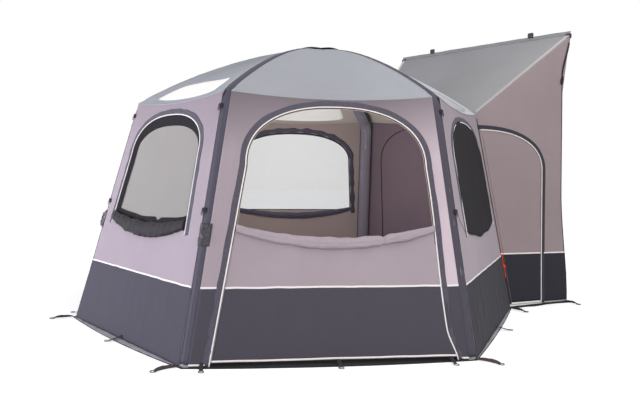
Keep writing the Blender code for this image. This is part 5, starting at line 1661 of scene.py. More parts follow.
class TunnelSide:
    """One side of the tunnel, with flat x from the leg to the caravan, y up, and out of the tunnel."""

    def __init__(self, side):
        corner = 2 if side > 0 else 3
        radius = SLEEVE_RADIUS + TUNNEL_EDGE_CLEARANCE
        self.side = side
        self.foot = leg_line(corner, GAP, radius)
        self.eaves = leg_line(corner, EAVES_HEIGHT, radius)
        self.low = np.array((side * TUNNEL_FOOT_HALF, TUNNEL_DEPTH, 0.0))
        self.high = np.array((side * RAIL_HALF, TUNNEL_DEPTH, RAIL_HEIGHT))
        self.x_axis = unit(self.low - self.foot)
        self.out = unit(np.cross(self.x_axis, unit(self.eaves + self.high - self.foot - self.low))) * side
        self.y_axis = np.cross(self.out, self.x_axis) * side
        self.flat = [self.to_flat(p) for p in (self.foot, self.eaves, self.low, self.high)]

    def to_flat(self, point):
        """Flat x and y of a point."""
        offset = point - self.foot
        return np.array((offset @ self.x_axis, offset @ self.y_axis))

    def at(self, x, y, out=0.0):
        """Point of the ruled surface over flat x and y, found by Newton's method on both shares."""
        x, y, out = np.broadcast_arrays(np.asarray(x, float), np.asarray(y, float), np.asarray(out, float))
        foot, eaves, low, high = self.flat
        r, s = y / eaves[1], x / low[0]
        for _ in range(NEWTON_ROUNDS):
            value = self.blend_corners(r, s, foot, eaves, low, high)
            by_r = (1 - s)[..., None] * (eaves - foot) + s[..., None] * (high - low)
            by_s = (low + r[..., None] * (high - low)) - (foot + r[..., None] * (eaves - foot))
            miss = value - np.stack((x, y), axis=-1)
            det = by_r[..., 0] * by_s[..., 1] - by_r[..., 1] * by_s[..., 0]
            r = r - (miss[..., 0] * by_s[..., 1] - miss[..., 1] * by_s[..., 0]) / det
            s = s - (by_r[..., 0] * miss[..., 1] - by_r[..., 1] * miss[..., 0]) / det
        spot = self.blend_corners(r, s, self.foot, self.eaves, self.low, self.high)
        return spot + self.out * out[..., None]

    @staticmethod
    def blend_corners(r, s, foot, eaves, low, high):
        """Point of the ruled surface: r up both straight edges, and s from one to the other."""
        r, s = r[..., None], s[..., None]
        return (1 - s) * (foot + r * (eaves - foot)) + s * (low + r * (high - low))

    def edge_x(self, y):
        """The far edge, which is cut in a shallow curve between its foot and the rail."""
        low, high = self.flat[2:]
        share = np.asarray(y) / high[1]
        bow = smooth_step(share, 0, EDGE_BOW["full_share"])
        bow = bow * (1 - smooth_step(share, EDGE_BOW["fade_share"], 1))
        return low[0] + (high[0] - low[0]) * share - EDGE_BOW["reach"] * bow

    def leg_x(self, y, grow=0.0):
        """The door's edge beside the leg, grown towards the leg."""
        eaves = self.flat[1]
        return eaves[0] * y / eaves[1] + TUNNEL_DOOR["strip"] - grow

    def leg_foot_x(self, y):
        """The panel's own edge beside the leg."""
        return self.leg_x(y, TUNNEL_DOOR["strip"])

    def reach_x(self, y, grow=0.0):
        """The door's upright edge on the caravan's side, grown towards the caravan."""
        return np.full_like(y, TUNNEL_DOOR["reach"] + grow)

    def door_line(self, grow=0.0, bottom=0.0, count=60):
        """Quarter arch from the right foot, over the top and down beside the leg."""
        door = TUNNEL_DOOR
        crest = door["top"] + grow
        start = self.leg_x(crest, grow)
        reach = door["reach"] + grow
        up = np.linspace(bottom, door["spring"], count, endpoint=False)
        right = np.stack((np.full(count, reach), up), axis=-1)
        angle = np.linspace(0, math.pi / 2, count)
        x = start + (reach - start) * np.cos(angle) ** (2 / ARCH_POWER)
        y = door["spring"] + (crest - door["spring"]) * np.sin(angle) ** (2 / ARCH_POWER)
        bend = np.stack((x, y), axis=-1)
        down = np.linspace(crest, bottom, count)[1:]
        return np.concatenate((right, bend)), np.stack((self.leg_x(down, grow), down), axis=-1)


tunnel = {"right": TunnelSide(1), "left": TunnelSide(-1)}
for label, part in tunnel.items():
    deep, high = part.flat[2][0], part.flat[3][1]
    print("tunnel", label, "is", np.round(deep, 3), "m deep and", np.round(high, 3), "m high")

# %% [markdown]
# Tunnel sides, doors and tapes
#
# The side is a polar grid again, from the door's quarter arch to the panel's border. Its lowest half
# metre is mud wall with the same white tape, and the door leaf carries its own share of both.

# %% Tunnel sides and doors
TUNNEL_FLOOR = 0.004
TUNNEL_SEWN = (0.04, 0.3)
TUNNEL_MUD_FADE = 0.25
TUNNEL_PUCKER = 0.003
TUNNEL_WAVES = (0.5, 0.4)
RAY_SHIFT = 0.12
DOOR_PUCKER = 0.0015
ZIP_ROOM = 0.0015
BAND_FOOT = 0.006
BAND_ROOM = 0.001
STRIP_ROOM = 0.002
DOOR_BAND_ROOM = 0.004
TUNNEL_FOLD = 0.0025
TRIM_FOOT = 0.008
TUNNEL_TRIMS = (
    # name, grown outwards, width, thickness, lift, finish
    ("tunnel_binding_", 0.028, 0.042, 0.004, 0.0012, DARK_BINDING),
    ("tunnel_piping_", 0.004, PIPING_WIDTH, PIPING_THICK, 0.003, WHITE_TAPE),
)


def tunnel_side_grid(part):
    """Rings of (x, y) from the door's outline to the border of the tunnel's side."""
    foot, eaves, low, high = part.flat
    front, back = part.door_line(0, TUNNEL_FLOOR)
    opening = np.concatenate((front, back))
    centre = np.array((part.leg_x(0) + RAY_SHIFT, TUNNEL_FLOOR))
    share = np.linspace(0, 1, BORDER_STEPS)[:, None]
    right = low + (high - low) * share
    right[:, 0] = part.edge_x(right[:, 1])
    right[0, 1] = TUNNEL_FLOOR
    top = high + (eaves - high) * share
    left = eaves + (foot - eaves) * share
    left[-1, 1] = TUNNEL_FLOOR
    border = np.concatenate((right, top[1:], left[1:]))
    corners = np.array((high, eaves, part.door_line()[0][-1]))
    extra = np.arctan2(corners[:, 1] - centre[1], corners[:, 0] - centre[0])
    angles = np.unique(np.concatenate((np.linspace(0, math.pi, 181), extra)))[::-1]
    inner = ray_lengths(opening, centre, angles, False)
    outer = ray_lengths(border, centre, angles, False)
    reach = inner + (outer - inner) * np.linspace(0, 1, 34)[:, None]
    free = np.minimum(reach - inner, outer - reach)
    return centre[0] + np.cos(angles) * reach, centre[1] + np.sin(angles) * reach, free


def faced(part, grid):
    """The grid with its faces turned out of the tunnel, whichever side it is on."""
    return grid if part.side > 0 else grid[:, ::-1]


def quarter_fill(part):
    """Grid of (x, y) that fills the tunnel's door: rows closer together towards the crest."""
    door = TUNNEL_DOOR
    rows = np.linspace(0, 1, 60)[:, None]
    y = door["lift"] + (door["top"] - ZIP_ROOM - door["lift"]) * (1 - (1 - rows) ** 1.5)
    over = np.clip((y - door["spring"]) / (door["top"] - door["spring"]), 0, 1)
    start = part.leg_x(door["top"])
    near = part.leg_x(y) + ZIP_ROOM
    far = start + (door["reach"] - start) * (1 - over ** ARCH_POWER) ** (1 / ARCH_POWER) - ZIP_ROOM
    across = np.linspace(0, 1, 31)[None, :]
    x = near + np.maximum(far - near, 0) * across
    return x, np.broadcast_to(y, x.shape), across


for label, part in tunnel.items():
    seed = 700 if part.side > 0 else 750
    side_name, body = "tunnel_side_" + label + "_cloth", "tunnel_door_" + label
    mud = MUD_WALL_HEIGHT
    x, y, free = tunnel_side_grid(part)
    fade = smooth_step(free, *TUNNEL_SEWN) * above_mud(y, mud, TUNNEL_MUD_FADE)
    relief = TUNNEL_PUCKER * fade * ripple(x * 1.5, y * 0.7, seed, TUNNEL_WAVES[0])
    grid = faced(part, part.at(x, y, relief))
    # The tunnel's side and door take the copy of the wall cloth with painted shade.
    make_sheet(side_name, [grid], [TUNNEL_PAINTED_SHADE, LINING], "wall_fabric", "stretched", ["tunnel_roof", "rail_strip"],
               "tunnel_side_" + label, places=[faced(part, np.stack((x, y), axis=-1))], thickness=FABRIC)
    x, y, across = quarter_fill(part)
    fade = np.sin(math.pi * across) * above_mud(y, mud)
    grid = faced(part, part.at(x, y, DOOR_PUCKER * fade * ripple(x, y, seed + 1, TUNNEL_WAVES[1])))
    make_sheet(body + "_cloth", [grid], [TUNNEL_PAINTED_SHADE, LINING], "wall_fabric", "hung", [side_name], body + "_leaf",
               body=body, thickness=FABRIC)
    strip = TUNNEL_DOOR["strip"] - STRIP_ROOM
    bands = (
        # name, body, x of the edge beside the leg and of the other edge, lowest y
        ("tunnel_mud_" + label, AWNING, lambda y: part.reach_x(y, BAND_ROOM), part.edge_x, BAND_FOOT),
        ("tunnel_mud_strip_" + label, AWNING, lambda y: part.leg_x(y, strip),
         lambda y: part.leg_x(y, BAND_ROOM), BAND_FOOT),
        (body + "_mud", body, lambda y: part.leg_x(y, -DOOR_BAND_ROOM),
         lambda y: part.reach_x(y, -DOOR_BAND_ROOM), TUNNEL_DOOR["lift"] + BAND_RAISE),
    )
    for name, owner, near, far, low_y in bands:
        rows = np.linspace(low_y, mud, MUD_ROWS)[:, None]
        x = near(rows) + (far(rows) - near(rows)) * np.linspace(0, 1, 50)[None, :]
        y = np.broadcast_to(rows, x.shape)
        folds = fold_relief(x, y, low_y, mud, seed + 3, TUNNEL_FOLD)
        grid = faced(part, part.at(x, y, FABRIC + BAND_LIFT + folds))
        # The tunnel's mud walls take the copy with painted shade.
        make_sheet(name, [grid], MUD_PAINTED_SHADE, "wall_fabric", "hung", [side_name], body=owner,
                   thickness=MUD_FABRIC)
        line = part.at(np.linspace(near(mud), far(mud), 50), mud, FABRIC + TAPE_LIFT)
        make_trim(name + "_tape", [sweep(line, part.out, oval(TAPE_WIDTH, TAPE_THICK, SQUARE))], WHITE_TAPE,
                  body=owner)
    for name, grow, width, thick, lift, finish in TUNNEL_TRIMS:
        line = resample(part.door_line(grow, TRIM_FOOT)[0], 120)
        grid = sweep(part.at(line[:, 0], line[:, 1], FABRIC + lift), part.out, oval(width, thick, SOFT))
        make_trim(name + label, [grid], finish)
print("tunnel door:", TUNNEL_DOOR["top"], "m high")

# %% [markdown]
# Tunnel roof and rail
#
# The tunnel's roof is a smooth sheet from the room's rear eaves up to the rail. Its far edge ends in
# a strip with a round bead that slides into the caravan's rail, with a few plastic clips on it.

# %% Tunnel roof
TUNNEL_ROOF_SAG = 0.02
TUNNEL_ROOF_GAP = 0.0011
TUNNEL_ROOF_UNEVEN = 0.003
ROOF_TAPE = (0.034, 0.0026)
ROOF_TAPE_SHARES = (0.02, 0.99)
ROOF_TAPE_INSET = 0.0204
ROOF_TAPE_TREMBLE = 0.06
ROOF_TAPE_WAVE = 0.3
rows = np.linspace(0, 1, 48)
columns = np.linspace(0, 1, 60)
near = tunnel["left"].eaves + (tunnel["right"].eaves - tunnel["left"].eaves) * columns[:, None]
far = tunnel["left"].high + (tunnel["right"].high - tunnel["left"].high) * columns[:, None]
grid = near[None] + (far - near)[None] * rows[:, None, None]
free = np.sin(math.pi * rows)[:, None] * np.sin(math.pi * columns)[None, :]
wave = TUNNEL_ROOF_UNEVEN * ripple(columns[None, :] * 2.4, rows[:, None] * 1.2, 801, TUNNEL_WAVES[0])
grid[..., 2] += TUNNEL_ROOF_GAP + free * (wave - TUNNEL_ROOF_SAG)
make_sheet("tunnel_roof_cloth", [grid], [TUNNEL_ROOF, ROOF_LINING], "roof_fabric", "stretched",
           ["rail_strip"], "tunnel_roof", thickness=FABRIC)
print("tunnel roof:", round(grid_area(grid), 2), "square metres")

for label, part in tunnel.items():
    share = np.linspace(*ROOF_TAPE_SHARES, 80)
    line = part.eaves + (part.high - part.eaves) * share[:, None]
    inwards = np.array((-part.side, 0.0, 0.0))
    top = unit(np.cross(part.high - part.eaves, inwards))
    top = top * np.sign(top[2])
    tremble = 1 + ROOF_TAPE_TREMBLE * ripple(share * 2, 0, 820, ROOF_TAPE_WAVE)
    line = line + inwards * ROOF_TAPE_INSET + top * (TUNNEL_ROOF_GAP + FABRIC + BAND_LIFT)
    tape = sweep(line, top, oval(*ROOF_TAPE, FLAT), tremble)
    make_trim("tunnel_roof_tape_" + label, [tape], LIGHT_TAPE, "roof_fabric")

# %% [markdown]
# The strip along the rail
#
# The strip is the roof's own cloth with a bead in its upper edge. It isn't pulled tight before it is
# in the rail, so it waves a little. Each clip is a short rounded block.

# %% Rail strip
RAIL_BEAD = 0.00375
RAIL_FABRIC = 0.0012
RAIL_BACK = 0.0008
RAIL_UNEVEN = 0.0012
RAIL_WAVE = 0.2
BEAD_UNEVEN = 0.0016
BEAD_WAVE = 0.35
RAIL_CLIPS = ((-1.123, 2.671), (-0.66, 2.738), (0.688, 2.738), (1.123, 2.671))
CLIP = dict(length=0.066, height=0.054, depth=0.018, front=0.006)
CLIP_ROUND = 0.96
TOWARDS_FRONT = (0.0, -1.0, 0.0)
rail_low, rail_high = (np.array(end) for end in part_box("rail_strip"))
middle_y = (rail_low[1] + rail_high[1]) / 2
x = np.linspace(rail_low[0], rail_high[0], 200)
share = np.linspace(0, 1, 7)[:, None]
rise = rail_low[2] + (rail_high[2] - rail_low[2] - RAIL_BEAD) * share
uneven = RAIL_UNEVEN * ripple(x[None, :], rise, 831, RAIL_WAVE)
y = middle_y - RAIL_BACK + uneven * np.sin(math.pi * share)
grid = np.stack(np.broadcast_arrays(x[None, :], y, rise), axis=-1)
make_sheet("rail_cloth", [grid], TUNNEL_ROOF, "webbing", "stretched", ["tunnel_roof_cloth"], "rail_strip",
           thickness=RAIL_FABRIC)
height = rail_high[2] - RAIL_BEAD + BEAD_UNEVEN * ripple(x, 0, 832, BEAD_WAVE)
line = np.stack((x, np.full_like(x, middle_y), height), axis=-1)
bead = sweep(line, TOWARDS_FRONT, oval(RAIL_BEAD * 2, RAIL_BEAD * 2))
make_trim("rail_bead_cloth", [bead], TUNNEL_ROOF, "webbing")
clips = []
for x, z in RAIL_CLIPS:
    travel = np.linspace(-1, 1, 14)
    line = np.array((x, middle_y - CLIP["front"], z)) + travel[:, None] * np.array((CLIP["length"] / 2, 0, 0))
    full = np.sqrt(1 - (CLIP_ROUND * travel) ** 8)
    clips.append(sweep(line, TOWARDS_FRONT, oval(CLIP["height"], CLIP["depth"], SQUARE), full))
make_trim("rail_clips", clips, BLACK_PLASTIC, "slider_plastic")
print("rail:", np.round(rail_high - rail_low, 3), "and", len(clips), "clips")

# %% [markdown]
# Straps of the tunnel's far edge
#
# Down the far edge, which is pressed against the caravan, and up beside the leg run thin dark seams.
# From each end of the rail a short storm strap hangs down along the far edge, with its end rolled up.
# A flap and a hem run along the tunnel's foot.

# %% Tunnel edges, storm straps and foot flaps
EDGE_SEAM = (0.008, 0.003)
FAR_SEAM_ENDS = (0.01, 2.64)
LEG_SEAM_ENDS = (0.01, 1.80)
STORM_TOP = 2.60
STORM_LOW = 2.25
STORM_STRAP = dict(width=0.022, thick=0.003, inset=0.008, bow=0.004)
STORM_ROLL = dict(width=0.036, thick=0.020, length=0.09, overlap=0.012, shift=0.012, lift=0.008,
                  power=2.6, wavy_share=0.1)
ROLL_ROUND = (0.03, 0.97)
TUNNEL_HEM = dict(width=0.012, thick=0.0022, height=0.012, lift=0.0008)
FLAP_WAVES = (0.3, 0.15)
FLAP = dict(width=0.06, start=0.003, fabric=0.0008, low=0.001, bend=0.006, uneven=0.0012, wavy_share=0.12)
for label, part in tunnel.items():
    lift = FABRIC + FACE_LIFT
    seams = []
    for ends, edge, shift in ((FAR_SEAM_ENDS, part.edge_x, -1), (LEG_SEAM_ENDS, part.leg_foot_x, 1)):
        y = np.linspace(*ends, 120)
        line = part.at(edge(y) + shift * EDGE_SEAM[0], y, lift)
        seams.append(sweep(line, part.out, oval(*EDGE_SEAM, SOFT)))
    make_trim("tunnel_edge_seams_" + label, seams, ZIP_TAPE)
    share = np.linspace(0, 1, 50)
    y = STORM_TOP + (STORM_LOW - STORM_TOP) * share
    far = part.edge_x(y) - STORM_STRAP["inset"]
    line = part.at(far, y, lift + STORM_STRAP["bow"] * np.sin(math.pi * share))
    strap = sweep(line, part.out, oval(STORM_STRAP["width"], STORM_STRAP["thick"], SQUARE))
    run = np.linspace(0, 1, 30)
    y = STORM_LOW + STORM_ROLL["overlap"] - STORM_ROLL["length"] * run
    line = part.at(far[-1] - STORM_ROLL["shift"] * run, y, lift + STORM_ROLL["lift"])
    full = np.sqrt(np.sin(math.pi * np.clip(run, *ROLL_ROUND)))
    full = full * (1 + STORM_ROLL["wavy_share"] * np.sin(run * 19))
    roll = sweep(line, part.out, oval(STORM_ROLL["width"], STORM_ROLL["thick"], STORM_ROLL["power"]), full)
    make_trim("storm_strap_" + label, [strap, roll], WEBBING, "webbing")
    x = np.linspace(0, part.flat[2][0], 80)
    hem = part.at(x, TUNNEL_HEM["height"], lift + TUNNEL_HEM["lift"])
    hem = sweep(hem, part.out, oval(TUNNEL_HEM["width"], TUNNEL_HEM["thick"], SQUARE))
    make_trim("tunnel_hem_" + label, [hem], LIGHT_TAPE)
    edge = part.at(x, 0)
    deep = np.linspace(0, 1, 12)[:, None]
    width = FLAP["width"] * (1 + FLAP["wavy_share"] * ripple(x, 0, 841, FLAP_WAVES[0]))
    rise = FLAP["low"] + FLAP["bend"] * (1 - deep) ** 3
    rise = rise + FLAP["uneven"] * (1 + ripple(x[None, :], deep * 0.1, 842, FLAP_WAVES[1]))
    grid = edge[None] + unit(part.out * (1, 1, 0)) * (deep * width[None, :] + FLAP["start"])[..., None]
    grid[..., 2] = rise
    grid = grid if part.side < 0 else grid[:, ::-1]
    make_sheet("tunnel_flap_" + label, [grid], GROUND, "ground_fabric", "laid",
               ["tunnel_side_" + label + "_cloth"], thickness=FLAP["fabric"])
print("storm straps hang", round(STORM_TOP - STORM_LOW, 2), "m down")

# %% [markdown]
# The ground sheet
#
# The ground sheet is a flat sheet whose edge bows out under the walls. It lies on the ground, so it
# only needs soft unevenness. Along four walls a pale flap lies on it, as far out as the bow.

# %% Ground sheet
GROUND_BOW = {"front": 0.05, "right_front": 0.05, "right_rear": 0.022, "inner": 0.0, "left_rear": 0.05,
              "left_front": 0.05}
GROUND_CORNER = 0.012
SHEET_FABRIC = 0.0012
SHEET_LIFT = 0.0008
SHEET_UNEVEN = 0.0006
SHEET_WAVE = 0.4
SHEET_RANGE = (0.0003, 0.0018)
SHEET_RING_POWER = 0.8
FOOT_FLAP = dict(ends=(0.01, 0.99), start=0.004, overlap=0.002, fabric=0.0006, low=0.0042, uneven=0.0012,
                 wave=0.1)


def ground_border(count=24):
    """Corners of the room at the ground, joined by shallow bows, except at the tunnel."""
    corners = []
    for corner in range(6):
        point = meet(corner, 0.0, 0.0)
        corners.append(point + unit(point) * GROUND_CORNER)
    line = []
    share = np.linspace(0, 1, count, endpoint=False)[:, None]
    for index in range(6):
        start, end = corners[index], corners[(index + 1) % 6]
        out = unit(np.array((end[1] - start[1], start[0] - end[0], 0.0)))
        bow = GROUND_BOW[walls[(index + 1) % 6].name]
        line.append(start + (end - start) * share + out * bow * 4 * share * (1 - share))
    return np.concatenate(line)


border = ground_border()
border = np.concatenate((border, border[:1]))[:, :2]
flat = border[None] * np.linspace(0, 1, 40)[:, None, None] ** SHEET_RING_POWER
lift = SHEET_LIFT + SHEET_UNEVEN * ripple(flat[..., 0], flat[..., 1], 811, SHEET_WAVE)
grid = np.concatenate((flat, np.clip(lift, *SHEET_RANGE)[..., None]), axis=-1)[:, ::-1]
make_sheet("groundsheet_cloth", [grid], GROUND, "ground_fabric", "laid", ["groundsheet"], "groundsheet",
           thickness=SHEET_FABRIC, places=[grid[..., :2]])
for wall in walls:
    if wall.name in ("inner", "right_front"):
        continue
    number = (walls.index(wall) - 1) % 6
    start, end = meet(number, 0, 0), meet((number + 1) % 6, 0, 0)
    share = np.linspace(*FOOT_FLAP["ends"], 60)[None, :, None]
    deep = np.linspace(0, 1, 9)[:, None, None]
    bow = (GROUND_BOW[wall.name] + FOOT_FLAP["overlap"]) * 4 * share * (1 - share)
    grid = start + (end - start) * share + unit(wall.normal * (1, 1, 0)) * (FOOT_FLAP["start"] + bow * deep)
    uneven = 1 + ripple(share[..., 0] * 1.8, deep[..., 0] * 0.05, 815, FOOT_FLAP["wave"])
    grid[..., 2] = FOOT_FLAP["low"] + FOOT_FLAP["uneven"] * uneven
    make_sheet("foot_flap_" + wall.name, [grid[:, ::-1]], PALE_FLAP, "ground_fabric", "laid",
               ["groundsheet_cloth"], thickness=FOOT_FLAP["fabric"])
print("ground sheet:", len(border) - 1, "points round its edge")

# %% [markdown]
# Hems at the open door
#
# The door's wall and the leaf in it end in a white tape just above the ground, which keeps their
# edge straight. Each runs on the body that it is sewn to.

# %% Door wall hems
HEM = (0.012, 0.0024)
HEM_LIFT = FABRIC + 0.0022
WALL_HEM = dict(height=0.016, inset=0.03)
LEAF_HEM = dict(height=0.010, inset=0.006, uneven=0.001, wave=0.3)
wall, shape = by_name["right_front"], DOORS["right_front"]
left, right = wall_edge(wall, -1), wall_edge(wall, 1)
low = wall.floor + WALL_HEM["height"]
spans = ((left(low), side_x(shape, -1, low, WALL_HEM["inset"])),
         (side_x(shape, 1, low, WALL_HEM["inset"]), right(low)))
lines = [flat_line(wall, np.linspace(start, end, 24), low, HEM_LIFT, *HEM) for start, end in spans]
make_trim("door_wall_hem", lines, WHITE_TAPE)
low = LEAF_LIFT + LEAF_HEM["height"]
x = np.linspace(side_x(shape, -1, low, -LEAF_HEM["inset"]), side_x(shape, 1, low, -LEAF_HEM["inset"]), 120)
uneven = LEAF_HEM["uneven"] * ripple(x, 0, 851, LEAF_HEM["wave"])
line = flat_line(wall, x, low + uneven, HEM_LIFT, *HEM)
make_trim("door_leaf_hem", [line], WHITE_TAPE, body="right_door")
print("hems:", len(lines) + 1)

# %% [markdown]
# Valve covers
#
# Both front legs have an air valve under a soft cover of shiny vinyl that is stitched on above and
# hangs free below. It is a dome over the leg's round face. What tells vinyl from cloth is how it
# crumples: flat facets between sharp folds. A sum of waves gets such folds when its sign is dropped.

# %% Valve covers
COVER = dict(top=0.905, height=0.155, half=0.046, bulge=0.022, fabric=0.0015, facets=0.075)
COVER_FOLD = 0.010
COVER_CLEAR = 0.0012
FACET_WAVES = 5
SKIN_EDGE_SHARE = 0.7
VALVE_BODIES = {"front_right": "valve_cover_right", "front_left": "valve_cover_left"}


def leg_axes(corner):
    """Across to the right, up along the leg, and out, for the leg in a corner."""
    up = unit(leg_line(corner, KNEE_HEIGHT, 0) - leg_line(corner, 0, 0))
    out = unit(walls[corner].normal + walls[(corner + 1) % 6].normal)
    return np.cross(up, out), up, out


def leg_skin(corner, across):
    """Distance from a leg's middle line out to its sleeve, and beside it to the walls."""
    half = math.acos(walls[corner].normal @ walls[(corner + 1) % 6].normal) / 2
    across = np.abs(across)
    beside = (SLEEVE_RADIUS + GAP + FABRIC - across * math.sin(half)) / math.cos(half)
    face = np.sqrt(np.clip(SLEEVE_RADIUS ** 2 - across ** 2, 0, None))
    edge = SLEEVE_RADIUS * math.sin(half)
    return face + (beside - face) * smooth_step(across, edge * SKIN_EDGE_SHARE, edge)


def crumple(x, y, seed, wave):
    """Sharp folds between flat facets: waves whose sign is dropped, near -1 to 0."""
    wide, fine = ripple(x, y, seed, wave, FACET_WAVES), ripple(x, y, seed + 1, wave / 2, FACET_WAVES)
    return -np.clip((np.abs(wide) + 0.5 * np.abs(fine)) / 1.5, 0, 1)


for label, body in VALVE_BODIES.items():
    corner = CORNERS.index(label)
    side, up, out = leg_axes(corner)
    travel, share = np.linspace(0, 1, 80)[:, None], np.linspace(-1, 1, 61)[None, :]
    x, y = COVER["half"] * share, COVER["height"] * (travel - 1)
    dome = (1 - share ** 4) * (1 - (2 * travel - 1) ** 4)
    base = leg_skin(corner, x) + COVER_CLEAR
    lift = base + COVER["bulge"] * dome
    lift = lift + COVER_FOLD * np.sqrt(dome) * (0.5 + crumple(x, y, 861 + corner, COVER["facets"]))
    lift = np.maximum(lift, base)[..., None]
    grid = leg_line(corner, COVER["top"], 0) + x[..., None] * side + y[..., None] * up + lift * out
    name = "valve_cover_" + label
    make_sheet(name + "_vinyl", [grid], VINYL, "cover_fabric", "hung", ["beam_sleeve_" + label + "_cloth"],
               name, body=body, thickness=COVER["fabric"])
print("valve covers:", list(VALVE_BODIES))

# %% [markdown]
# Loops on the legs
#
# Half way up and near the top of each leg a band of webbing is sewn over its outer seam, with a ring
# that a line or a rolled flap can be tied to. A ring is a circle swept round a circle.

# %% Leg loops
LOOP_HEIGHTS = (0.99, 1.715)
LOOP_SIDES = {0: -1, 1: 1, 2: 1, 3: -1, 4: -1, 5: 1}
LOOP = dict(width=0.036, thick=0.004, lift=0.004, bow=0.008, turns=(8, 58))
LOOP_POINTS = 26
LOOP_RING = (0.013, 0.0046)
RING_LIFT = 0.012
RING_DROP = 0.022


def ring_grid(centre, first, second, radius, wire):
    """Circle round a centre in the plane of two directions, with a round section."""
    angle = np.linspace(0, math.tau, 33)[:, None]
    circle = np.cos(angle) * first + np.sin(angle) * second
    return sweep(centre + radius * circle, circle, oval(wire, wire), loop=True)


def leg_index(corner, height):
    """Number along a beam of a height on its leg."""
    return height / beam_points(corner, LEG_INDEX)[0][2]


def seam_frame(corner, index, side):
    """Middle of the leg at a number along it, along the leg, outwards, and towards one wall's seam."""
    middle, along, across, out = (part[0] for part in beam_frames(corner, index))
    return middle, along, out, out * math.cos(side * EDGE_TURN) + across * math.sin(side * EDGE_TURN)


bands, rings = [], []
for corner, side in LOOP_SIDES.items():
    for height in LOOP_HEIGHTS:
        turn = side * np.radians(np.linspace(*LOOP["turns"], LOOP_POINTS))
        bow = LOOP["bow"] * np.sin(math.pi * np.linspace(0, 1, LOOP_POINTS))
        radius = SLEEVE_RADIUS + LOOP["lift"] + bow
        index = leg_index(corner, height)
        line = beam_spot(corner, np.full(LOOP_POINTS, index), turn, radius)
        middle, along, out, facing = seam_frame(corner, index, side)
        bands.append(sweep(line, line - middle, oval(LOOP["width"], LOOP["thick"], SQUARE)))
        centre = middle + facing * (SLEEVE_RADIUS + RING_LIFT) - along * RING_DROP
        rings.append(ring_grid(centre, along, np.cross(along, facing), *LOOP_RING))
make_trim("leg_loops", bands, WEBBING, "webbing")
make_trim("leg_rings", rings, BROWN_PLASTIC, "slider_plastic")
print("leg loops:", len(bands))

# %% [markdown]
# The elastic of the cover
#
# A thin elastic runs from one loop to the foot of the closed window cover and keeps it down. It is
# almost straight, because it is under a little tension.

# %% Cover elastic
TIE_DIAMETER = 0.003
TIE_INDEX = leg_index(CORNERS.index("front_left"), LOOP_HEIGHTS[0])  # legs differ by under a millimetre
TIE_START = (0.014, 0.03)
TIE_END = (-0.60, 0.85, FABRIC + 0.010)
TIE_SAG = 0.004


def line_length(line):
    """Length of a line through its points."""
    return float(np.linalg.norm(np.diff(line, axis=0), axis=1).sum())


middle, along, out, facing = seam_frame(CORNERS.index("right"), TIE_INDEX, 1)
start = middle + facing * (SLEEVE_RADIUS + TIE_START[0]) - along * TIE_START[1]
end = by_name["right_rear"].at(*TIE_END)
travel = np.linspace(0, 1, 60)[:, None]
route = start + (end - start) * travel - np.array((0.0, 0.0, TIE_SAG)) * 4 * travel * (1 - travel)
length = line_length(route)
tie = make_trim("cover_elastic", [sweep(route, out, oval(TIE_DIAMETER, TIE_DIAMETER))], WEBBING, "webbing")
print("cover elastic:", round(length, 3), "m")

# %% [markdown]
# Peg straps
#
# At each foot a doubled strap lies on the ground and holds a steel ring for a peg. The strap's end is
# folded back round the ring, which is why it is thicker there.

# %% Peg straps
STRAP_AZIMUTHS = dict(front_right=-89, right=11, rear_right=-3, rear_left=183, left=169, front_left=-104)
STRAP_RING = (0.020, 0.0064)
STRAP_TILT = math.radians(65)
STRAP_WEB = (0.024, 0.0034)
STRAP_PATCH = (0.023, 0.0034)
STRAP_LOW = 0.0026
STRAP_RISE = 0.0125
STRAP_DRIFT = 0.003
STRAP_FOLD = 34
STRAP_END_SHARE = 0.4
NEAR_END = 0.03
RING_CLEAR = 0.0004
UP = np.array((0.0, 0.0, 1.0))


def solid_points(name):
    """Points of a loaded solid, as an array."""
    mesh = frame["nodes"][name].data
    flat = np.empty(len(mesh.vertices) * 3, dtype=np.float32)
    mesh.vertices.foreach_get("co", flat)
    return flat.reshape(-1, 3).astype(float)


directions = {label: math.radians(azimuth) for label, azimuth in STRAP_AZIMUTHS.items()}
for label, part in tunnel.items():
    directions["tunnel_" + label] = math.atan2(part.out[1], part.out[0])
for number, (label, angle) in enumerate(directions.items()):
    along = np.array((math.cos(angle), math.sin(angle), 0.0))
    points = solid_points("peg_strap_" + label)
    ahead = points @ along
    level = points[:, 2].min()
    start = points[ahead < ahead.min() + NEAR_END].mean(axis=0)
    start = start - along * (start @ along - ahead.min())
    length = np.ptp(ahead) - STRAP_RING[0]
    travel = np.linspace(0, 1, 60)
    run = travel * (length - STRAP_RING[0] * STRAP_END_SHARE)
    tilt = STRAP_TILT * np.sin(math.pi * travel) ** FULLNESS
    rise = level + STRAP_LOW + STRAP_RISE * np.sin(tilt)
    drift = STRAP_DRIFT * np.sin(math.pi * travel) * math.sin(5 * number)
    beside = np.array((-along[1], along[0], 0.0))
    line = start * (1, 1, 0) + run[:, None] * along + drift[:, None] * beside
    line[:, 2] = rise
    tilt = tilt[:, None] * (-1) ** number
    lean = np.cos(tilt) * UP + np.sin(tilt) * beside
    strap = sweep(line, lean, oval(*STRAP_WEB, FLAT))
    patch = sweep(line[STRAP_FOLD:] + UP * STRAP_PATCH[1], lean[STRAP_FOLD:], oval(*STRAP_PATCH, FLAT))
    piece = make_trim("peg_strap_" + label + "_webbing", [strap, patch], STRAP, "webbing")
    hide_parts("peg_strap_" + label)
    centre = start * (1, 1, 0) + along * length + UP * (level + STRAP_RING[1] / 2 + RING_CLEAR)
    make_trim("peg_ring_" + label, [ring_grid(centre, along, beside, *STRAP_RING)], STEEL, "webbing")
print("straps:", len(directions))

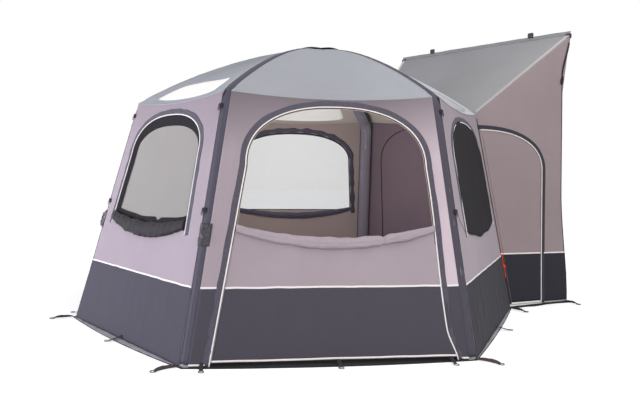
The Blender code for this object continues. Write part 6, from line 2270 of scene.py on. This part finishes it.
# %% [markdown]
# Loops at the foot of the walls
#
# Between the corners each wall has a short loop of webbing at its foot, for one more peg, and the
# walls with a door have three. A loop reaches out from the cloth and has a small ring in its end.

# %% Loops at the foot of the walls
FOOT_LOOP = (0.026, 0.003)
FOOT_RING = (0.018, 0.0056)
FOOT_REACH = 0.10
FOOT_HEIGHT = 0.030
FOOT_DROP = 0.024
FOOT_LIFT = FABRIC + 0.003
FOOT_BEND = 1.5
FOOT_MIDDLE = (0.02,)
FOOT_PLACES = {"right_front": (-0.88, 0.02, 0.80), "left_front": (-0.80, 0.02, 0.88)}
bands, rings = [], []
for wall in walls:
    if wall.name == "inner":
        continue
    level = unit(wall.normal * (1, 1, 0))
    travel = np.linspace(0, 1, 20)[:, None]
    for place in FOOT_PLACES.get(wall.name, FOOT_MIDDLE):
        start = wall.at(place, wall.floor + FOOT_HEIGHT, FOOT_LIFT)
        line = start + level * FOOT_REACH * travel ** FOOT_BEND - UP * FOOT_DROP * travel
        bands.append(sweep(line, level + UP, oval(*FOOT_LOOP, SQUARE)))
        rings.append(ring_grid(line[-1] + level * FOOT_RING[0], level, wall.right, *FOOT_RING))
make_trim("foot_loops", bands, WEBBING, "webbing")
make_trim("foot_rings", rings, STEEL, "webbing")
print("foot loops:", len(bands))

# %% [markdown]
# The guyline
#
# One orange line is fixed to a rear leg, half a metre up, and hangs down beside it, with a plastic
# runner on it. Its curve has two parts: a quarter circle out of its loop, and a straight fall. A thin
# line like this hangs straight, because it is limp and the runner weighs it down. Its end comes back
# up through the runner, and a small hank is wound round both.

# %% Guyline
GUY = dict(corner=2, height=0.50, turn=-17.0, stand_off=0.010, bend=0.012, drop=0.235, diameter=0.004,
           fold=0.115, apart=0.0052)
TAB = dict(low=-0.012, high=0.014, width=0.018, thick=0.004, lift=0.0015)
HANK = dict(turns=(-0.013, -0.009, -0.005, 0.005, 0.009), radius=0.0095, shift=0.004)
side, up, out = leg_axes(GUY["corner"])
level = unit(out * (1, 1, 0))
turn = math.radians(GUY["turn"])
spun = np.array((level[0] * math.cos(turn) - level[1] * math.sin(turn),
                 level[0] * math.sin(turn) + level[1] * math.cos(turn), 0.0))
spun = unit(spun - up * (spun @ up))
exit_point = leg_line(GUY["corner"], GUY["height"], 0) + spun * (SLEEVE_RADIUS + GAP)
centre = exit_point + spun * (GUY["stand_off"] - GUY["bend"]) - up * GUY["bend"]
angle = np.linspace(0, math.pi / 2, 14)[1:, None]
bend = centre + spun * GUY["bend"] * np.sin(angle) + up * GUY["bend"] * np.cos(angle)
fall = np.linspace(0, GUY["drop"] - GUY["bend"], 90)[1:, None]
route = np.concatenate((exit_point[None], bend, bend[-1] - up * fall))
outline = oval(GUY["diameter"], GUY["diameter"])
length = line_length(route)
line = make_trim("guyline_rope", [sweep(route, side, outline)], ORANGE, "guyline_fabric")
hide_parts("guyline_cord")
returning = route[route[:, 2] > exit_point[2] - GUY["fold"]] + side * GUY["apart"]
line = make_trim("guyline_return", [sweep(returning, side, outline)], ORANGE, "guyline_fabric")
tab = exit_point + np.linspace(TAB["low"], TAB["high"], 12)[:, None] * up + spun * TAB["lift"]
tab = sweep(tab, spun, oval(TAB["width"], TAB["thick"], SQUARE))
make_trim("guyline_tab", [tab], ORANGE, "guyline_fabric")
runner_low, runner_high = (np.array(end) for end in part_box("guyline_runner"))
middle = (runner_low + runner_high) / 2 + spun * HANK["shift"]
hank = [ring_grid(middle + up * rise, spun, side, HANK["radius"], GUY["diameter"]) for rise in HANK["turns"]]
make_trim("guyline_hank", hank, ORANGE, "guyline_fabric", "guyline_runner")

# %% [markdown]
# Finishes of the solids that stay
#
# Sliders, valves, the runner and the air bladders are hard or hidden, so their own meshes stay. They
# only get materials with some wear in them.

# %% Finishes of the solids
SOLID_FINISHES = {"slider": STEEL, "valve_front": BLACK_PLASTIC, "runner": ORANGE_PLASTIC,
                  "air_frame": BLADDER}
for key, finish in SOLID_FINISHES.items():
    for name, solid in frame["nodes"].items():
        if key in name:
            for place in solid.material_slots:
                place.link = "OBJECT"
                place.material = finish
print("finishes:", list(SOLID_FINISHES))
